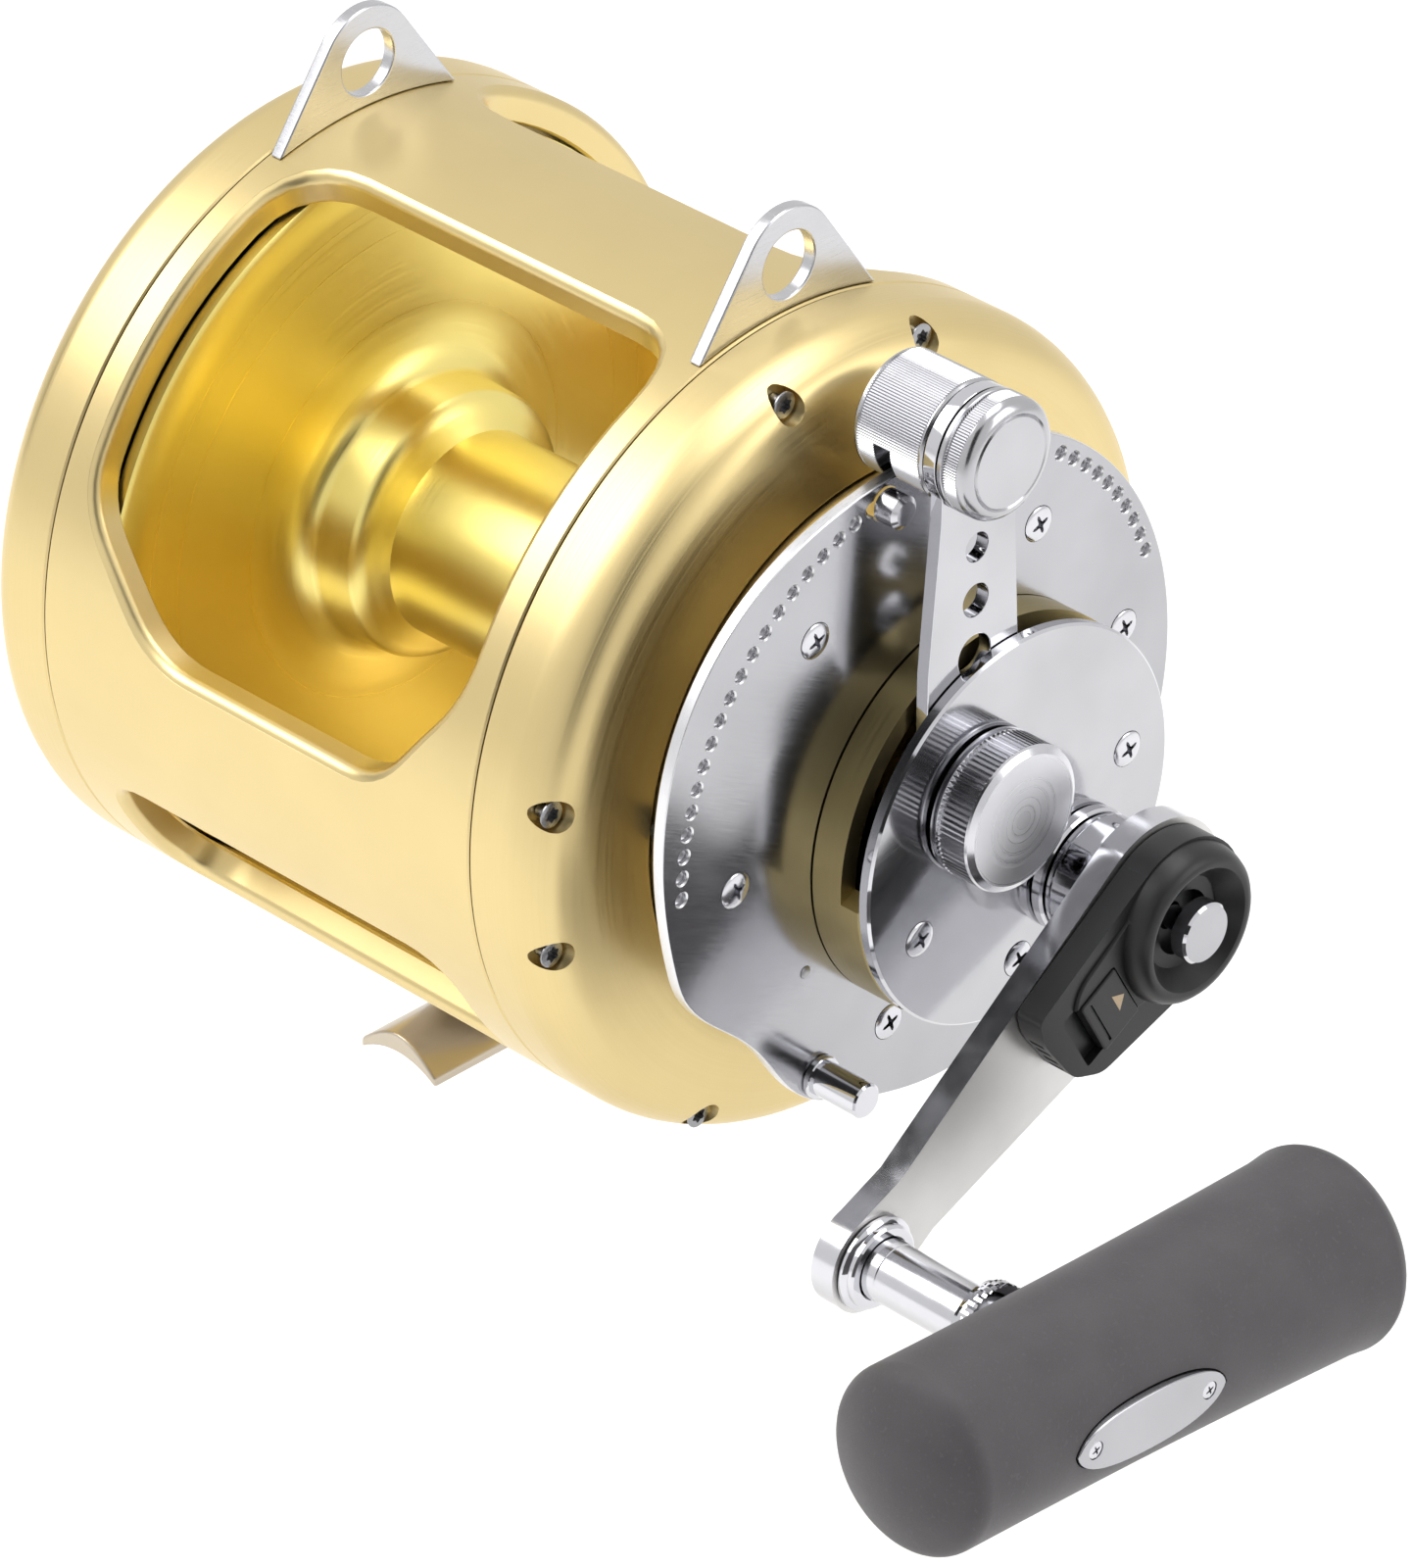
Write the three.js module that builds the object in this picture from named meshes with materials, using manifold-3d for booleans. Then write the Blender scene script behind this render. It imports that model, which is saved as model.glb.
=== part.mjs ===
// Two-speed lever-drag trolling reel. Millimetres, +Z up, +Y toward the rod tip.
// The spool axis runs along X with the crank on the +X side. The origin is the middle of the
// rod seat under the foot, so the reel hangs or stands by that seat.
import * as THREE from 'three';
import { mergeVertices } from 'three/addons/utils/BufferGeometryUtils.js';
import Module from 'manifold-3d';

const wasm = await Module();
wasm.setup();

// ---- driving dimensions ---------------------------------------------------------------
const GAP = 0.3;                    // air between neighbouring pieces
const SPOOL_HEIGHT = 87;            // spool axis above the rod seat
const FRAME_RADIUS = 84;
const FRAME_BORE = 77;
const FRAME_HALF = 58.5;            // half the frame's width, seam to seam
const BAR_RADIUS = 80.2;            // the bottom bar is turned down to this radius
const WINDOW_ANGLE = 140;           // middle of the rear window, from +Y toward +Z
const WINDOW_HALF = 51;
const WINDOW_TOP = 50;              // window edges, measured along the tangent at its middle
const WINDOW_BOTTOM = -49.4;
const LOWER_ANGLE = 215.5;          // middle of the rear lower opening
const LOWER_HALF_HEIGHT = 18;
const LUG_HOLE_HEIGHT = 93.4;
const LUG_HOLE_RADIUS = 6.8;
const LUG_THICKNESS = 3;
const SPOOL_FLANGE_RADIUS = 76.3;
const SPOOL_FLANGE_INNER = 48;      // inner face of each flange from the middle
const SPOOL_FLANGE_OUTER = 52;
const ARBOR_RADIUS = 21.5;
const ARBOR_FLARE_RADIUS = 29;
const SHAFT_RADIUS = 5;
const BEARING_BORE = 5.15;
const LID_RADIUS = 58.3;
const PLATE_FACE = 81;              // outer face of the gear-side plate
const QUADRANT_BACK = 92.3;
const QUADRANT_FACE = 95;
const CASE_CENTRE = [10.8, -10.8];  // middle of the gear case and its cover, in Y and Z
const CASE_RADIUS = 41;
const CASE_FRONT = 107.1;
const COVER_FACE = 109.8;
const LEVER_BACK = 104;
const LEVER_FRONT = 107;
const LEVER_GRIP_RADIUS = 12.2;
const LEVER_GRIP_HEIGHT = 74.5;     // lever grip's axis from the spool axis
const GEAR_MODULE = 1.25;
const HIGH_TEETH = 43;
const HIGH_PINION_TEETH = 18;
const LOW_TEETH = 34;
const LOW_PINION_TEETH = 27;
const CENTRE_DISTANCE = (HIGH_TEETH + HIGH_PINION_TEETH) * GEAR_MODULE / 2;
const CRANK = [CENTRE_DISTANCE * Math.SQRT1_2, -CENTRE_DISTANCE * Math.SQRT1_2];
const ARM_BACK = 124.7;
const ARM_FACE = 130.2;
const ARM_LENGTH = 88;
const ARM_ANGLE = 210.1;            // direction of the crank arm at rest
const ARM_HUB_RADIUS = 18.5;
const ARM_END_RADIUS = 10.6;
const GRIP_AXIS_X = 182;
const GRIP_BACK_END = -50.4;        // grip ends measured from the handle post
const GRIP_FRONT_END = 77.7;
const GRIP_BACK_RADIUS = 18.8;
const GRIP_FRONT_RADIUS = 20.8;
const GRIP_WAIST = 0.7;             // how much thinner the grip is between its ends
const GRIP_TILT = -3.8;             // how far the grip is turned on its post at rest
const GRIP_BACK_DOME = 4;
const GRIP_FRONT_DOME = 6;
const GRIP_EDGE = 4.5;
const BUTTON_FACE = 143.4;
const BUTTON_RADIUS = 6.3;
const HOUSING_BACK = ARM_FACE + GAP;
const HOUSING_FACE = 136.6;
const TAB_START = 17.4;             // slide tab on the crank arm, along it from the crank axis
const TAB_LENGTH = 10.4;
const TAB_LOW = -6.2;               // its two edges across the arm
const TAB_HIGH = 8.2;
const TAB_TRAVEL = 4;
const BADGE_BACK = 199.4;
const BADGE_FACE = 201.4;
const BADGE_HALF_LENGTH = 20;
const BADGE_HALF_HEIGHT = 6.2;
const CLICK_HEIGHT = -40;           // click button's axis below the spool axis
const CASE_SLOT = [10, 204];        // angles between which the lever leaves the gear case
const QUADRANT_SCREWS = [[50.8, 126.5], [50.8, 185], [50.8, 54], [55.4, 8.3], [53.6, 261]];
const COVER_SCREW_RADIUS = 30;
const COVER_SCREW_ANGLES = [206, 271, 8];
const QUADRANT_POST = [62.6, 244];  // radius and angle of the stop post
const STRIKE_BUTTON = [63.8, 101];
const STRIKE_RADIUS = 3.4;
const PAWL_PIVOT = polar(20, 45, CRANK);

const POST = [
  CRANK[0] + ARM_LENGTH * Math.cos(rad(ARM_ANGLE)),
  CRANK[1] + ARM_LENGTH * Math.sin(rad(ARM_ANGLE)),
];

// ---- finishes -------------------------------------------------------------------------
const GOLD = { color: 0xd9c27a, roughness: 0.35, metalness: 1 };
const DEEP_GOLD = { color: 0xd4b24a, roughness: 0.25, metalness: 1 };
const OLIVE_GOLD = { color: 0xa8965a, roughness: 0.35, metalness: 1 };
const POLISHED = { color: 0xc9cbcd, roughness: 0.18, metalness: 1 };
const CHROME = { color: 0xdfe1e4, roughness: 0.05, metalness: 1 };
const STEEL = { color: 0x9a9a9c, roughness: 0.35, metalness: 1 };
const FOOT_STEEL = { color: 0x7c7263, roughness: 0.4, metalness: 1 };
const BRASS = { color: 0xb08d43, roughness: 0.3, metalness: 1 };
const CARBON = { color: 0x26272a, roughness: 0.8, metalness: 0 };
const BLACK_PLASTIC = { color: 0x151517, roughness: 0.45, metalness: 0 };
const RUBBER = { color: 0x4a4a4b, roughness: 0.75, metalness: 0 };

// ---- helpers --------------------------------------------------------------------------
function rad(degrees) {
  return degrees * Math.PI / 180;
}

function polar(radius, degrees, [y, z] = [0, 0]) {
  return [y + radius * Math.cos(rad(degrees)), z + radius * Math.sin(rad(degrees))];
}

/** Signed volume of an indexed triangle mesh; negative when its faces point inward. */
function signedVolume(position, index) {
  const a = new THREE.Vector3();
  const b = new THREE.Vector3();
  const c = new THREE.Vector3();
  let volume = 0;
  for (let i = 0; i < index.length; i += 3) {
    a.fromBufferAttribute(position, index[i]);
    b.fromBufferAttribute(position, index[i + 1]);
    c.fromBufferAttribute(position, index[i + 2]);
    volume += a.dot(b.cross(c)) / 6;
  }
  return volume;
}

/** Turns a closed three.js geometry into a solid that can be joined and cut. */
function toSolid(geometry) {
  geometry.deleteAttribute('normal');
  geometry.deleteAttribute('uv');
  const merged = mergeVertices(geometry, 1e-4);
  const index = [];
  for (let i = 0; i < merged.index.count; i += 3) {
    const [a, b, c] = [0, 1, 2].map((k) => merged.index.getX(i + k));
    if (a !== b && b !== c && c !== a) index.push(a, b, c);
  }
  if (signedVolume(merged.attributes.position, index) < 0) index.reverse();
  return new wasm.Manifold(new wasm.Mesh({
    numProp: 3,
    vertProperties: new Float32Array(merged.attributes.position.array),
    triVerts: new Uint32Array(index),
  }));
}

/** A solid of revolution about an X-parallel axis through `centre`; profile is [x, radius]. */
function turned(profile, centre = [0, 0], segments = 40) {
  const points = profile.map(([along, radius]) => new THREE.Vector2(radius, along));
  const startsOnAxis = profile[0][1] === 0;
  if (!startsOnAxis) points.push(points[0].clone());
  const geometry = new THREE.LatheGeometry(points, segments);
  geometry.rotateZ(-Math.PI / 2);
  geometry.translate(0, centre[0], centre[1]);
  return toSolid(geometry);
}

/** A plain cylinder along X between two positions. */
function rod(from, to, radius, centre = [0, 0], segments = 20) {
  return turned([[from, 0], [from, radius], [to, radius], [to, 0]], centre, segments);
}

/** A ring along X between two positions. */
function ring(from, to, inner, outer, centre = [0, 0], segments = 24) {
  return turned([[from, inner], [from, outer], [to, outer], [to, inner]], centre, segments);
}

/** Extrudes a shape drawn in the YZ plane along X. */
function slab(shape, from, to, curveSegments = 12) {
  const options = { depth: to - from, bevelEnabled: false, curveSegments };
  const geometry = new THREE.ExtrudeGeometry(shape, options);
  const basis = new THREE.Matrix4().makeBasis(
    new THREE.Vector3(0, 1, 0), new THREE.Vector3(0, 0, 1), new THREE.Vector3(1, 0, 0));
  geometry.applyMatrix4(basis);
  geometry.translate(from, 0, 0);
  return toSolid(geometry);
}

/** Extrudes a shape drawn in X and the tangent direction outward along a radius. */
function radialCut(shape, angle, from, to) {
  const options = { depth: to - from, bevelEnabled: false, curveSegments: 5 };
  const geometry = new THREE.ExtrudeGeometry(shape, options);
  const outward = new THREE.Vector3(0, Math.cos(rad(angle)), Math.sin(rad(angle)));
  const tangent = new THREE.Vector3(0, outward.z, -outward.y);
  geometry.translate(0, 0, from);
  geometry.applyMatrix4(new THREE.Matrix4().makeBasis(
    new THREE.Vector3(1, 0, 0), tangent, outward));
  return toSolid(geometry);
}

/** A closed outline whose corners are rounded; points are [a, b, cornerRadius]. */
function roundedOutline(points) {
  const shape = new THREE.Shape();
  const count = points.length;
  points.forEach(([a, b, radius], i) => {
    const corner = new THREE.Vector2(a, b);
    const before = new THREE.Vector2(...points[(i + count - 1) % count]);
    const after = new THREE.Vector2(...points[(i + 1) % count]);
    const start = corner.clone().add(before.sub(corner).setLength(radius));
    const end = corner.clone().add(after.sub(corner).setLength(radius));
    if (i === 0) shape.moveTo(start.x, start.y);
    else shape.lineTo(start.x, start.y);
    shape.quadraticCurveTo(corner.x, corner.y, end.x, end.y);
  });
  shape.closePath();
  return shape;
}

/** The outline round two circles of different size: a bar that tapers between them. */
function taperedBar(from, fromRadius, to, toRadius) {
  const direction = Math.atan2(to[1] - from[1], to[0] - from[0]);
  const distance = Math.hypot(to[0] - from[0], to[1] - from[1]);
  const lean = Math.acos((fromRadius - toRadius) / distance);
  const shape = new THREE.Shape();
  shape.absarc(from[0], from[1], fromRadius, direction + lean, direction - lean + 2 * Math.PI);
  shape.absarc(to[0], to[1], toRadius, direction - lean, direction + lean);
  shape.closePath();
  return shape;
}

/** Spur gear outline with one straight flank on each side of a tooth. */
function gearShape(teeth, phase, bore) {
  const pitch = teeth * GEAR_MODULE / 2;
  const stations = [
    [pitch - 1.2 * GEAR_MODULE, 1.02],
    [pitch + 0.85 * GEAR_MODULE, 0.34],
  ];
  const shape = new THREE.Shape();
  for (let tooth = 0; tooth < teeth; tooth += 1) {
    const middle = rad(phase) + tooth * 2 * Math.PI / teeth;
    const rising = stations.map(([r, half]) => [r, middle - half * GEAR_MODULE / r]);
    const falling = stations.map(([r, half]) => [r, middle + half * GEAR_MODULE / r]).reverse();
    for (const [r, angle] of [...rising, ...falling]) {
      const point = [r * Math.cos(angle), r * Math.sin(angle)];
      if (shape.curves.length === 0 && shape.currentPoint.length() === 0) shape.moveTo(...point);
      else shape.lineTo(...point);
    }
  }
  shape.closePath();
  shape.holes.push(new THREE.Path().absarc(0, 0, bore, 0, 2 * Math.PI, true));
  return shape;
}

function gear(teeth, phase, bore, from, to, [y, z] = [0, 0]) {
  return slab(gearShape(teeth, phase, bore), from, to, 10).translate(0, y, z);
}

const reel = new THREE.Group();
reel.position.set(0, 0, SPOOL_HEIGHT);

/** Adds a finished solid to the reel as one named mesh. */
function addPart(name, solid, finish) {
  const { numProp, vertProperties, triVerts } = solid.getMesh();
  const positions = new Float32Array(vertProperties.length / numProp * 3);
  for (let i = 0; i < positions.length / 3; i += 1) {
    positions.set(vertProperties.subarray(i * numProp, i * numProp + 3), i * 3);
  }
  const geometry = new THREE.BufferGeometry();
  geometry.setAttribute('position', new THREE.BufferAttribute(positions, 3));
  geometry.setIndex(new THREE.BufferAttribute(new Uint32Array(triVerts), 1));
  geometry.computeVertexNormals();
  const mesh = new THREE.Mesh(geometry, new THREE.MeshStandardMaterial(finish));
  mesh.name = name;
  reel.add(mesh);
}

// ---- frame, lugs and foot -------------------------------------------------------------
/** Window outline; `flip` mirrors it for the front of the frame. */
function windowOutline(flip) {
  const corners = [
    [-WINDOW_HALF, WINDOW_TOP, 14],
    [-WINDOW_HALF, WINDOW_BOTTOM + 22, 8],
    [-WINDOW_HALF + 23, WINDOW_BOTTOM, 8],
    [WINDOW_HALF - 18, WINDOW_BOTTOM, 8],
    [WINDOW_HALF, WINDOW_BOTTOM + 22, 8],
    [WINDOW_HALF, WINDOW_TOP, 14],
  ];
  return roundedOutline(flip ? corners.map(([a, b, r]) => [a, -b, r]).reverse() : corners);
}

function lowerOutline() {
  const half = LOWER_HALF_HEIGHT;
  return roundedOutline([
    [-48, half, 10], [-48, -half, 16], [45, -half, 16], [45, half, 10],
  ]);
}

/** Wedge of the YZ plane between two angles, out to a given radius. */
function wedge(fromAngle, toAngle, radius) {
  const shape = new THREE.Shape();
  shape.moveTo(0, 0);
  for (let step = 0; step <= 6; step += 1) {
    shape.lineTo(...polar(radius, fromAngle + (toAngle - fromAngle) * step / 6));
  }
  shape.closePath();
  return shape;
}

function frame() {
  const lowerFront = 180 - LOWER_ANGLE;
  const barRelief = ring(-46, 46, BAR_RADIUS, FRAME_RADIUS + 4, [0, 0], 60)
    .intersect(slab(wedge(222, 318, 120), -46, 46));
  return ring(-FRAME_HALF, FRAME_HALF, FRAME_BORE, FRAME_RADIUS, [0, 0], 60)
    .subtract(radialCut(windowOutline(false), WINDOW_ANGLE, 20, 110))
    .subtract(radialCut(windowOutline(true), 180 - WINDOW_ANGLE, 20, 110))
    .subtract(radialCut(lowerOutline(), LOWER_ANGLE, 40, 110))
    .subtract(radialCut(lowerOutline(), lowerFront, 40, 110))
    .subtract(barRelief);
}

function harnessLug(from) {
  const peakRadius = 11.8;
  const baseRadius = FRAME_RADIUS + GAP;
  const base = polar(baseRadius, 73.8);
  const reach = Math.hypot(base[0], base[1] - LUG_HOLE_HEIGHT);
  const toBase = Math.atan2(base[1] - LUG_HOLE_HEIGHT, base[0]);
  const tangent = toBase + Math.acos(peakRadius / reach);
  const shape = new THREE.Shape();
  shape.moveTo(base[0], base[1]);
  shape.absarc(0, LUG_HOLE_HEIGHT, peakRadius, tangent, Math.PI - tangent);
  shape.lineTo(-base[0], base[1]);
  shape.absarc(0, 0, baseRadius, rad(106.2), rad(73.8), true);
  shape.holes.push(
    new THREE.Path().absarc(0, LUG_HOLE_HEIGHT, LUG_HOLE_RADIUS, 0, 2 * Math.PI, true));
  return slab(shape, from, from + LUG_THICKNESS, 10);
}

function foot() {
  const halfWidth = 10.4;
  const seatRadius = 17.5;
  const seatAngle = Math.asin(halfWidth / seatRadius);
  const saddle = new THREE.Shape();
  saddle.absarc(0, -seatRadius, seatRadius, Math.PI / 2 + seatAngle, Math.PI / 2 - seatAngle, true);
  saddle.lineTo(halfWidth, -seatRadius + seatRadius * Math.cos(seatAngle) + 2.2);
  saddle.quadraticCurveTo(0, 6.4, -halfWidth, -seatRadius + seatRadius * Math.cos(seatAngle) + 2.2);
  const length = 94.4;
  const geometry = new THREE.ExtrudeGeometry(
    saddle, { depth: length, bevelEnabled: false, curveSegments: 8 });
  geometry.rotateX(Math.PI / 2);
  geometry.translate(0, length / 2, -SPOOL_HEIGHT);
  const topRadius = BAR_RADIUS + GAP;
  const pedestal = new THREE.Shape();
  pedestal.absarc(0, 0, topRadius, rad(238), rad(302), false);
  pedestal.lineTo(42, -73);
  pedestal.lineTo(31, -85);
  pedestal.lineTo(-31, -85);
  pedestal.lineTo(-42, -73);
  pedestal.closePath();
  return toSolid(geometry).add(slab(pedestal, -11, 11, 10));
}

// ---- side plates ----------------------------------------------------------------------
function leftSidePlate() {
  return turned([
    [-FRAME_HALF - GAP, 76], [-FRAME_HALF - GAP, FRAME_RADIUS], [-68.5, FRAME_RADIUS],
    [-71.8, 83], [-74, 80.6], [-75, 77.5], [-75, 12.3], [-71, 12.3], [-71, 70], [-66, 74],
  ]);
}

function leftBearingCap() {
  return turned([[-77.4, 0], [-77.4, 15.5], [-76, 17.6], [-75.3, 17.6], [-75.3, 12],
    [-69.5, 12], [-69.5, 5.4], [-73, 5.4], [-73, 0]], [0, 0], 28);
}

function rightSidePlate() {
  return turned([
    [FRAME_HALF + GAP, 76.4], [FRAME_HALF + GAP, FRAME_RADIUS], [66.5, FRAME_RADIUS],
    [68.5, 83.2], [73, 82.2], [76.4, 79.8], [78.8, 75.8], [80.2, 71], [PLATE_FACE, 65.5],
    [PLATE_FACE, LID_RADIUS + GAP], [76, LID_RADIUS + GAP], [76, 68], [70, 76.4],
  ]);
}

function gearPlate() {
  const disc = ring(58.9, 62, 13.3, 75.9, [0, 0], 40);
  return disc.subtract(rod(58, 63, 11.4, CRANK));
}

function gearboxLid() {
  const shell = turned([
    [76.3, 54.5], [76.3, LID_RADIUS], [92, LID_RADIUS], [92, 20], [88.5, 20], [88.5, 54.5],
  ]);
  return shell.subtract(rod(88, 93, 11.4, CRANK));
}

/** Quadrant edge radius: round, with a rise at the rear, a rise below and a cut-back. */
function quadrantRadius(angle) {
  const swell = (middle, half, height) => {
    const away = Math.abs((angle - middle + 540) % 360 - 180);
    return away < half ? height * Math.cos(away / half * Math.PI / 2) ** 2 : 0;
  };
  return 68 + swell(143, 52, 5.7) + swell(290, 44, 5.4) - swell(222, 26, 6.2);
}

function quadrantPlate() {
  const edge = new THREE.Shape();
  const step = 7.5;
  for (let angle = 0; angle < 360; angle += step) {
    const point = polar(quadrantRadius(angle), angle);
    if (angle === 0) edge.moveTo(...point);
    else edge.lineTo(...point);
  }
  edge.closePath();
  edge.holes.push(new THREE.Path().absarc(0, 0, 19, 0, 2 * Math.PI, true));
  return slab(edge, QUADRANT_BACK, QUADRANT_FACE).subtract(rod(92, 96, 7, CRANK, 24));
}

function gearCase() {
  const wall = ring(QUADRANT_FACE + GAP, CASE_FRONT, CASE_RADIUS - 4, CASE_RADIUS,
    CASE_CENTRE, 48);
  return wall.subtract(slab(wedge(...CASE_SLOT, 90), 102.6, CASE_FRONT + 1));
}

function gearCover() {
  return ring(CASE_FRONT + GAP, COVER_FACE, 7.8, CASE_RADIUS, [0, 0], 48)
    .translate(0, ...CASE_CENTRE)
    .add(rod(CASE_FRONT + GAP, COVER_FACE, 12, CASE_CENTRE))
    .subtract(rod(107, 111, 7.8))
    .subtract(rod(107, 111, 7.2, CRANK));
}

function panScrew(centre, face) {
  return turned([[face - 3, 0], [face - 3, 1.7], [face + 0.2, 1.7], [face + 0.2, 3.6],
    [face + 1.1, 3.1], [face + 1.6, 0]], centre, 10);
}

function screwHole(centre, face) {
  return rod(face - 4, face + 1, 2.05, centre, 10);
}

// ---- spool, shaft and drag ------------------------------------------------------------
function spool() {
  const right = [
    [43.5, 7], [43.5, 11], [48.5, 11], [SPOOL_FLANGE_OUTER, 24],
    [SPOOL_FLANGE_OUTER, SPOOL_FLANGE_RADIUS], [SPOOL_FLANGE_INNER, SPOOL_FLANGE_RADIUS],
    [45, 34], [41, ARBOR_FLARE_RADIUS], [32, ARBOR_FLARE_RADIUS - 1], [28, ARBOR_RADIUS],
  ];
  const left = right.map(([along, radius]) => [-along, radius]).reverse();
  return turned([...right, ...left], [0, 0], 36);
}

/** Pawl beside the ratchet wheel, on a pin that stands in the lid. */
function ratchetPawl() {
  const tip = [PAWL_PIVOT[0] - 13.1, PAWL_PIVOT[1] + 2.6];
  return slab(taperedBar(PAWL_PIVOT, 3.4, tip, 1.6), 77.8, 80.6, 6)
    .add(rod(80.6, 88, 1.8, PAWL_PIVOT, 12));
}

function bearing(from, to, inner, outer, centre) {
  return ring(from, to, inner, outer, centre, 20);
}

function spoolShaft() {
  return turned([
    [-72.5, 0], [-72.5, SHAFT_RADIUS], [109, SHAFT_RADIUS], [112, SHAFT_RADIUS], [112, 0],
  ], [0, 0], 20);
}

function drivePlate() {
  return turned([
    [54.3, 6], [54.3, 60], [57, 60], [57, 24], [58, 9], [76, 9], [76, 6],
  ]);
}

function pinionCluster() {
  const pinionPhase = -45 + 180 / HIGH_PINION_TEETH;
  const lowPhase = -45 + 180 / LOW_PINION_TEETH;
  return gear(HIGH_PINION_TEETH, pinionPhase, 9.15, 62.6, 67.4)
    .add(ring(67, 69.4, 9.15, 9.9, [0, 0], 20))
    .add(gear(LOW_PINION_TEETH, lowPhase, 9.15, 69, 73.8));
}

// ---- lever ----------------------------------------------------------------------------
function leverArm() {
  const shape = new THREE.Shape();
  shape.absarc(0, 0, 14, rad(152), rad(388));
  shape.lineTo(11.8, 30);
  shape.lineTo(9.7, 66);
  shape.absarc(0, LEVER_GRIP_HEIGHT, 9.6, rad(-10), rad(190));
  shape.lineTo(-9.7, 66);
  shape.lineTo(-12.4, 30);
  shape.closePath();
  const holes = [[0, 8.6], [53.4, 3], [42, 3.4], [30.2, 4.3]];
  for (const [height, radius] of holes) {
    shape.holes.push(new THREE.Path().absarc(0, height, radius, 0, 2 * Math.PI, true));
  }
  return slab(shape, LEVER_BACK, LEVER_FRONT, 10);
}

function leverSleeve() {
  const centre = [0, LEVER_GRIP_HEIGHT];
  const body = rod(86, LEVER_BACK - GAP, LEVER_GRIP_RADIUS, centre, 24);
  return body
    .subtract(rod(QUADRANT_BACK - 0.7, QUADRANT_FACE + 0.7, 74.6, [0, 0], 60))
    .subtract(rod(QUADRANT_FACE, 101, STRIKE_BUTTON[0] + STRIKE_RADIUS + 0.5, [0, 0], 60));
}

function leverCap() {
  return turned([
    [LEVER_FRONT + GAP, 0], [LEVER_FRONT + GAP, LEVER_GRIP_RADIUS],
    [112.8, LEVER_GRIP_RADIUS], [114.3, 11.2], [115, 9.4], [115, 0],
  ], [0, LEVER_GRIP_HEIGHT], 24);
}

function presetKnob() {
  return turned([
    [112.4, 0], [112.4, 5.6], [110.4, 5.6], [110.4, 15], [119.4, 15], [120.6, 13.4], [120.6, 0],
  ], [0, 0], 28);
}

// ---- crank ----------------------------------------------------------------------------
function crankShaft() {
  return turned([
    [59.2, 0], [59.2, 6], [130.1, 6], [130.1, 2.7], [112, 2.7], [112, 0],
  ], CRANK, 28);
}

function crankArm() {
  const blade = taperedBar(CRANK, ARM_HUB_RADIUS, POST, 7);
  return slab(blade, ARM_BACK, ARM_FACE, 14)
    .add(rod(ARM_BACK, ARM_FACE, ARM_END_RADIUS, POST, 36))
    .subtract(rod(ARM_BACK - 1, ARM_FACE + 1, 6.3, CRANK, 28));
}

function crankSleeve() {
  return turned([
    [113.2, 6.3], [113.2, 12.2], [114, 12.8], [120, 12.8], [124.4, 14], [124.4, 6.3],
  ], CRANK, 28);
}

/** Point on the crank arm: `along` it from the crank axis and `across` toward its top edge. */
function onArm(along, across) {
  const way = rad(ARM_ANGLE);
  return [
    CRANK[0] + along * Math.cos(way) + across * Math.sin(way),
    CRANK[1] + along * Math.sin(way) - across * Math.cos(way),
  ];
}

function armBox(alongFrom, alongTo, acrossFrom, acrossTo, from, to) {
  return slab(roundedOutline([
    [...onArm(alongFrom, acrossFrom), 0.4], [...onArm(alongTo, acrossFrom), 0.4],
    [...onArm(alongTo, acrossTo), 0.4], [...onArm(alongFrom, acrossTo), 0.4],
  ]), from, to, 2);
}

function speedHousing() {
  const outline = taperedBar(CRANK, 17.2, onArm(25, 3), 11.5);
  const pocketEnd = TAB_START + TAB_LENGTH + TAB_TRAVEL + GAP;
  const cup = turned([
    [134, 0], [134, 16.6], [139, 16.4], [141.8, 14.3], [141.8, 13], [136.4, 8.6], [136.4, 0],
  ], CRANK, 28);
  return slab(outline, HOUSING_BACK, HOUSING_FACE, 12)
    .add(cup)
    .subtract(armBox(TAB_START - GAP, pocketEnd, TAB_LOW - GAP, TAB_HIGH + GAP,
      HOUSING_FACE - 2, HOUSING_FACE + 1))
    .subtract(rod(HOUSING_BACK - 1, 140, 2.9, CRANK, 20));
}

function lowButton() {
  return turned([
    [116, 0], [116, 2.4], [139.6, 2.4], [139.6, BUTTON_RADIUS], [143, BUTTON_RADIUS], [BUTTON_FACE, 5.9],
    [BUTTON_FACE, 0],
  ], CRANK, 28);
}

function highTab() {
  return armBox(TAB_START, TAB_START + TAB_LENGTH, TAB_LOW, TAB_HIGH,
    HOUSING_FACE - 1.6, HOUSING_FACE + 1.2);
}

function postCollar() {
  return turned([
    [ARM_FACE + GAP, 6.6], [ARM_FACE + GAP, 9.6], [131.8, 9.6], [133.4, 8.6], [133.4, 6.6],
  ], POST, 24);
}

function handlePost() {
  return turned([
    [ARM_FACE + GAP, 0], [ARM_FACE + GAP, 6.3], [190, 6.3], [190, 0],
  ], POST, 32);
}

function gripWasher() {
  return turned([
    [157.6, 6.6], [157.6, 8.4], [159.4, 9.2], [161.6, 9.2], [161.6, 6.6],
  ], POST, 20);
}

/** One end of the grip from its tip inwards, as [inset, radius] pairs. */
function gripEnd(radius, dome) {
  const rim = radius - 0.7 * GRIP_EDGE;
  return [
    [0, 0], [dome * 0.3, rim * 0.55], [dome, rim],
    [dome + 0.3 * GRIP_EDGE, radius - 0.22 * GRIP_EDGE], [dome + GRIP_EDGE, radius],
  ];
}

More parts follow.
